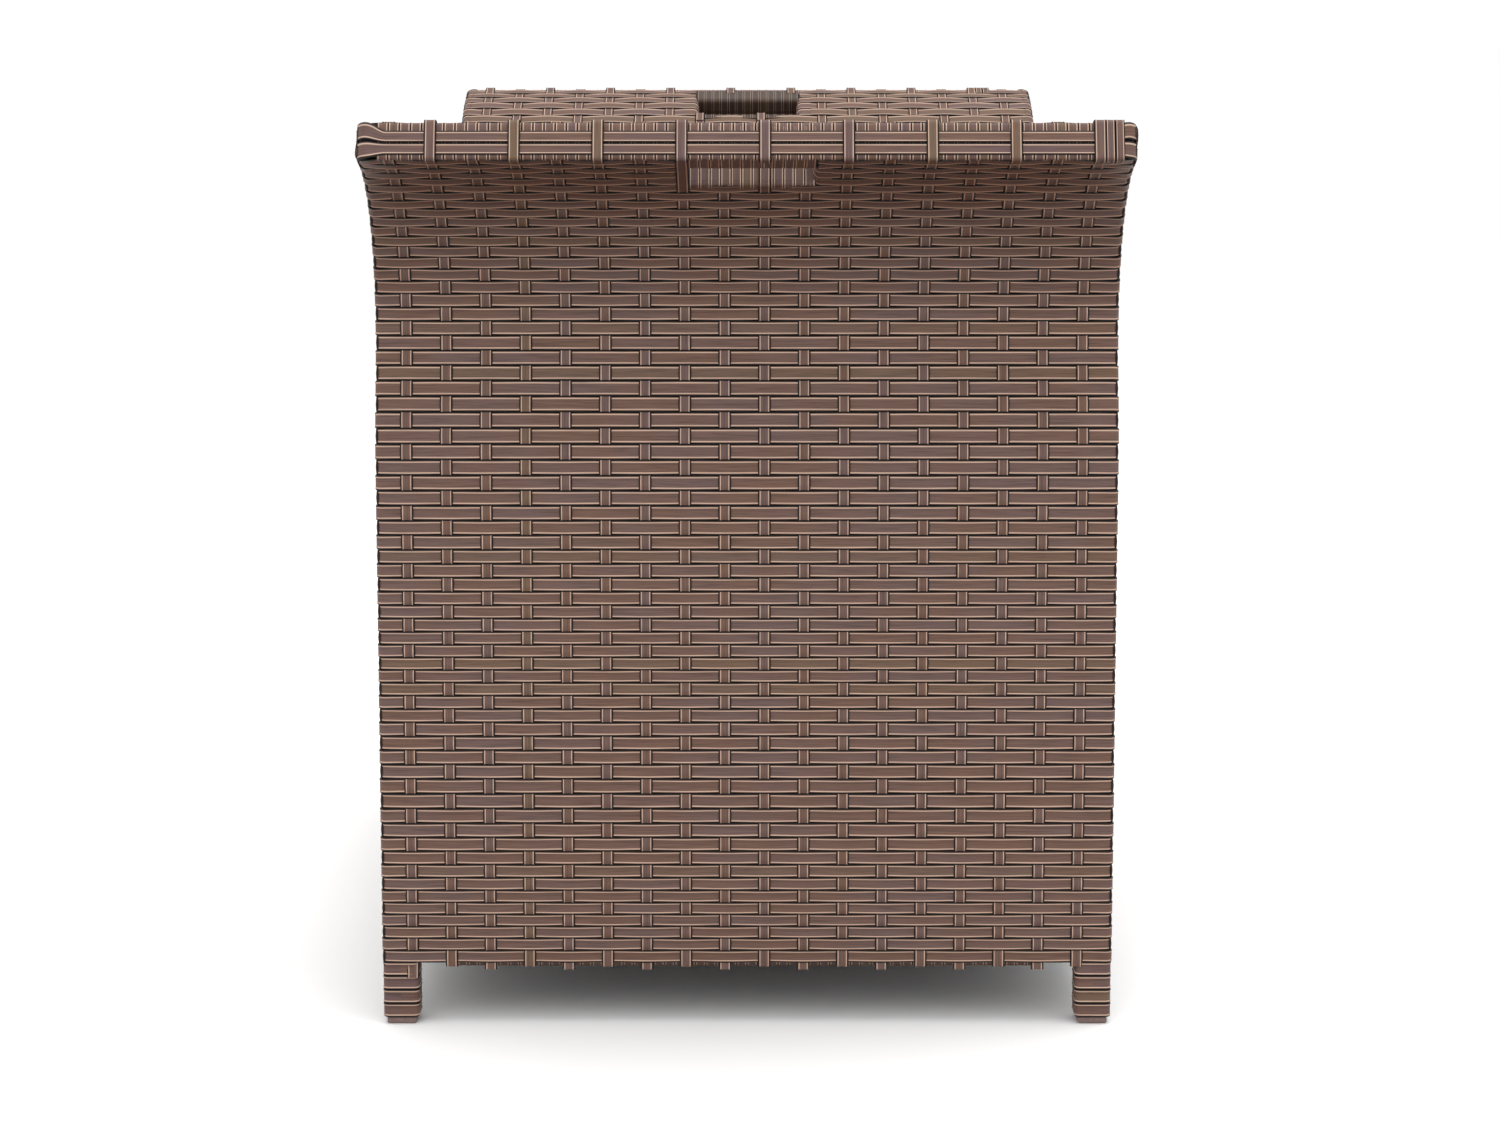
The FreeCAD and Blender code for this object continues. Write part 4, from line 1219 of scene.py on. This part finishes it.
def pad(whole, x, y, foot, rise):
    """Adds one domed pad."""
    rings = []
    for out, up in PAD_PROFILE:
        ring = []
        for i in range(PAD_SIDES):
            angle = 2 * math.pi * i / PAD_SIDES
            reach = out * PAD_RADIUS
            place = (x + reach * math.cos(angle), y + reach * math.sin(angle), foot + rise * up)
            ring.append(whole.verts.new(place))
        rings.append(ring)
    whole.faces.new(list(reversed(rings[0])))
    whole.faces.new(rings[-1])
    for below, above in zip(rings, rings[1:]):
        for i in range(PAD_SIDES):
            j = (i + 1) % PAD_SIDES
            whole.faces.new((below[i], below[j], above[j], above[i]))


def make_bumpers():
    """Six low domed pads that keep the glass off the weave."""
    low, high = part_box("glass_bumpers")
    whole = bmesh.new()
    for x in (low.x + PAD_RADIUS, high.x - PAD_RADIUS):
        for y in (low.y + PAD_RADIUS, 0.0, high.y - PAD_RADIUS):
            pad(whole, x, y, low.z, high.z - low.z)
    finished(whole, "glass_pads", "table", "clear_rubber", RUBBER, "glass_bumpers")


def finish_frame():
    """Powder coat on the welded tubes and zinc on the fasteners."""
    plated = ("corner_brackets", "bracket_bolts", "bracket_washers", "rivet_nuts")
    for name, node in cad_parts.items():
        if node.hide_render:
            continue
        material = ZINC if name in plated else STEEL
        if not node.material_slots:
            node.data.materials.append(material)
        for place in node.material_slots:
            place.material = material


for number, end_name in enumerate(ENDS):
    make_rim_binding(end_name, 100 + 20 * number)
    make_slot_binding(end_name, 140 + 20 * number)
    make_bottom_binding(f"{end_name}_bottom_binding", end_name, 180 + number)
    for side_number, side_name in enumerate(SIDES):
        make_leg_wrap(f"{end_name}_{side_name}_leg_wrap", 190 + 2 * number + side_number)
        make_foot_plug(f"{end_name}_{side_name}_foot_plug")
for number, side_name in enumerate(SIDES):
    make_bottom_binding(f"{side_name}_bottom_binding", side_name, 200 + number)
LAST_HOOP_ROW = 2 * DECK_ROW + DECK_ROWS + 1
make_hoop_piece("left_skirt_strands", "left_skirt_weave", 0, DECK_ROW, 210)
make_hoop_piece("deck_strands", "deck_weave", DECK_ROW + 1, DECK_ROW + DECK_ROWS, 220)
make_hoop_piece(
    "right_skirt_strands", "right_skirt_weave", LAST_HOOP_ROW - DECK_ROW, LAST_HOOP_ROW, 230
)
make_glass()
make_bumpers()
finish_frame()


# ---------------------------------------------------------------- stage, camera and lights


CAMERA_DIP = 7.55  # degrees below level


def make_camera():
    """The camera, in line with the table's length and a little above the rims, dipped a little."""
    data = bpy.data.cameras.new("camera")
    data.sensor_width = 36.0
    data.lens = 81.7
    data.shift_y = -0.07
    camera = bpy.data.objects.new("camera", data)
    camera.location = (0.002, -2.609, 0.6916)
    camera.rotation_euler = (math.radians(90 - CAMERA_DIP), 0.0, 0.0)
    bpy.context.scene.collection.objects.link(camera)
    bpy.context.scene.camera = camera


FLOOR_REACH = 60.0


def make_floor():
    """A plain pale floor."""
    mesh = bpy.data.meshes.new("floor")
    reach = FLOOR_REACH
    mesh.from_pydata(
        [(-reach, -reach, 0), (reach, -reach, 0), (reach, reach, 0), (-reach, reach, 0)],
        [], [(0, 1, 2, 3)],
    )
    material, _, surface = shaded("pale_floor", Roughness=0.9)
    surface.inputs["Base Color"].default_value = (0.97, 0.97, 0.97, 1.0)
    mesh.materials.append(material)
    floor = bpy.data.objects.new("floor", mesh)
    bpy.context.scene.collection.objects.link(floor)


def add_softbox(name, place, target, size, power):
    """A square soft light that faces a point."""
    data = bpy.data.lights.new(name, "AREA")
    data.shape = "SQUARE"
    data.size = size
    data.energy = power
    lamp = bpy.data.objects.new(name, data)
    lamp.location = place
    lamp.rotation_euler = (Vector(target) - Vector(place)).to_track_quat("-Z", "Y").to_euler()
    bpy.context.scene.collection.objects.link(lamp)


def make_world():
    """An even white surround."""
    world = bpy.data.worlds.new("studio")
    world.use_nodes = True
    background = world.node_tree.nodes["Background"]
    background.inputs["Color"].default_value = (1.0, 1.0, 1.0, 1.0)
    background.inputs["Strength"].default_value = 1.04
    bpy.context.scene.world = world
    bpy.context.scene.view_settings.view_transform = "Standard"


make_camera()
make_floor()
make_world()
add_softbox("front_light", (-0.8, -3.2, 2.6), (0, -0.3, 0.3), 2.4, 25.0)
add_softbox("top_light", (0.4, -0.3, 3.4), (0, 0, 0.3), 2.6, 70.0)

drop(SECTION)
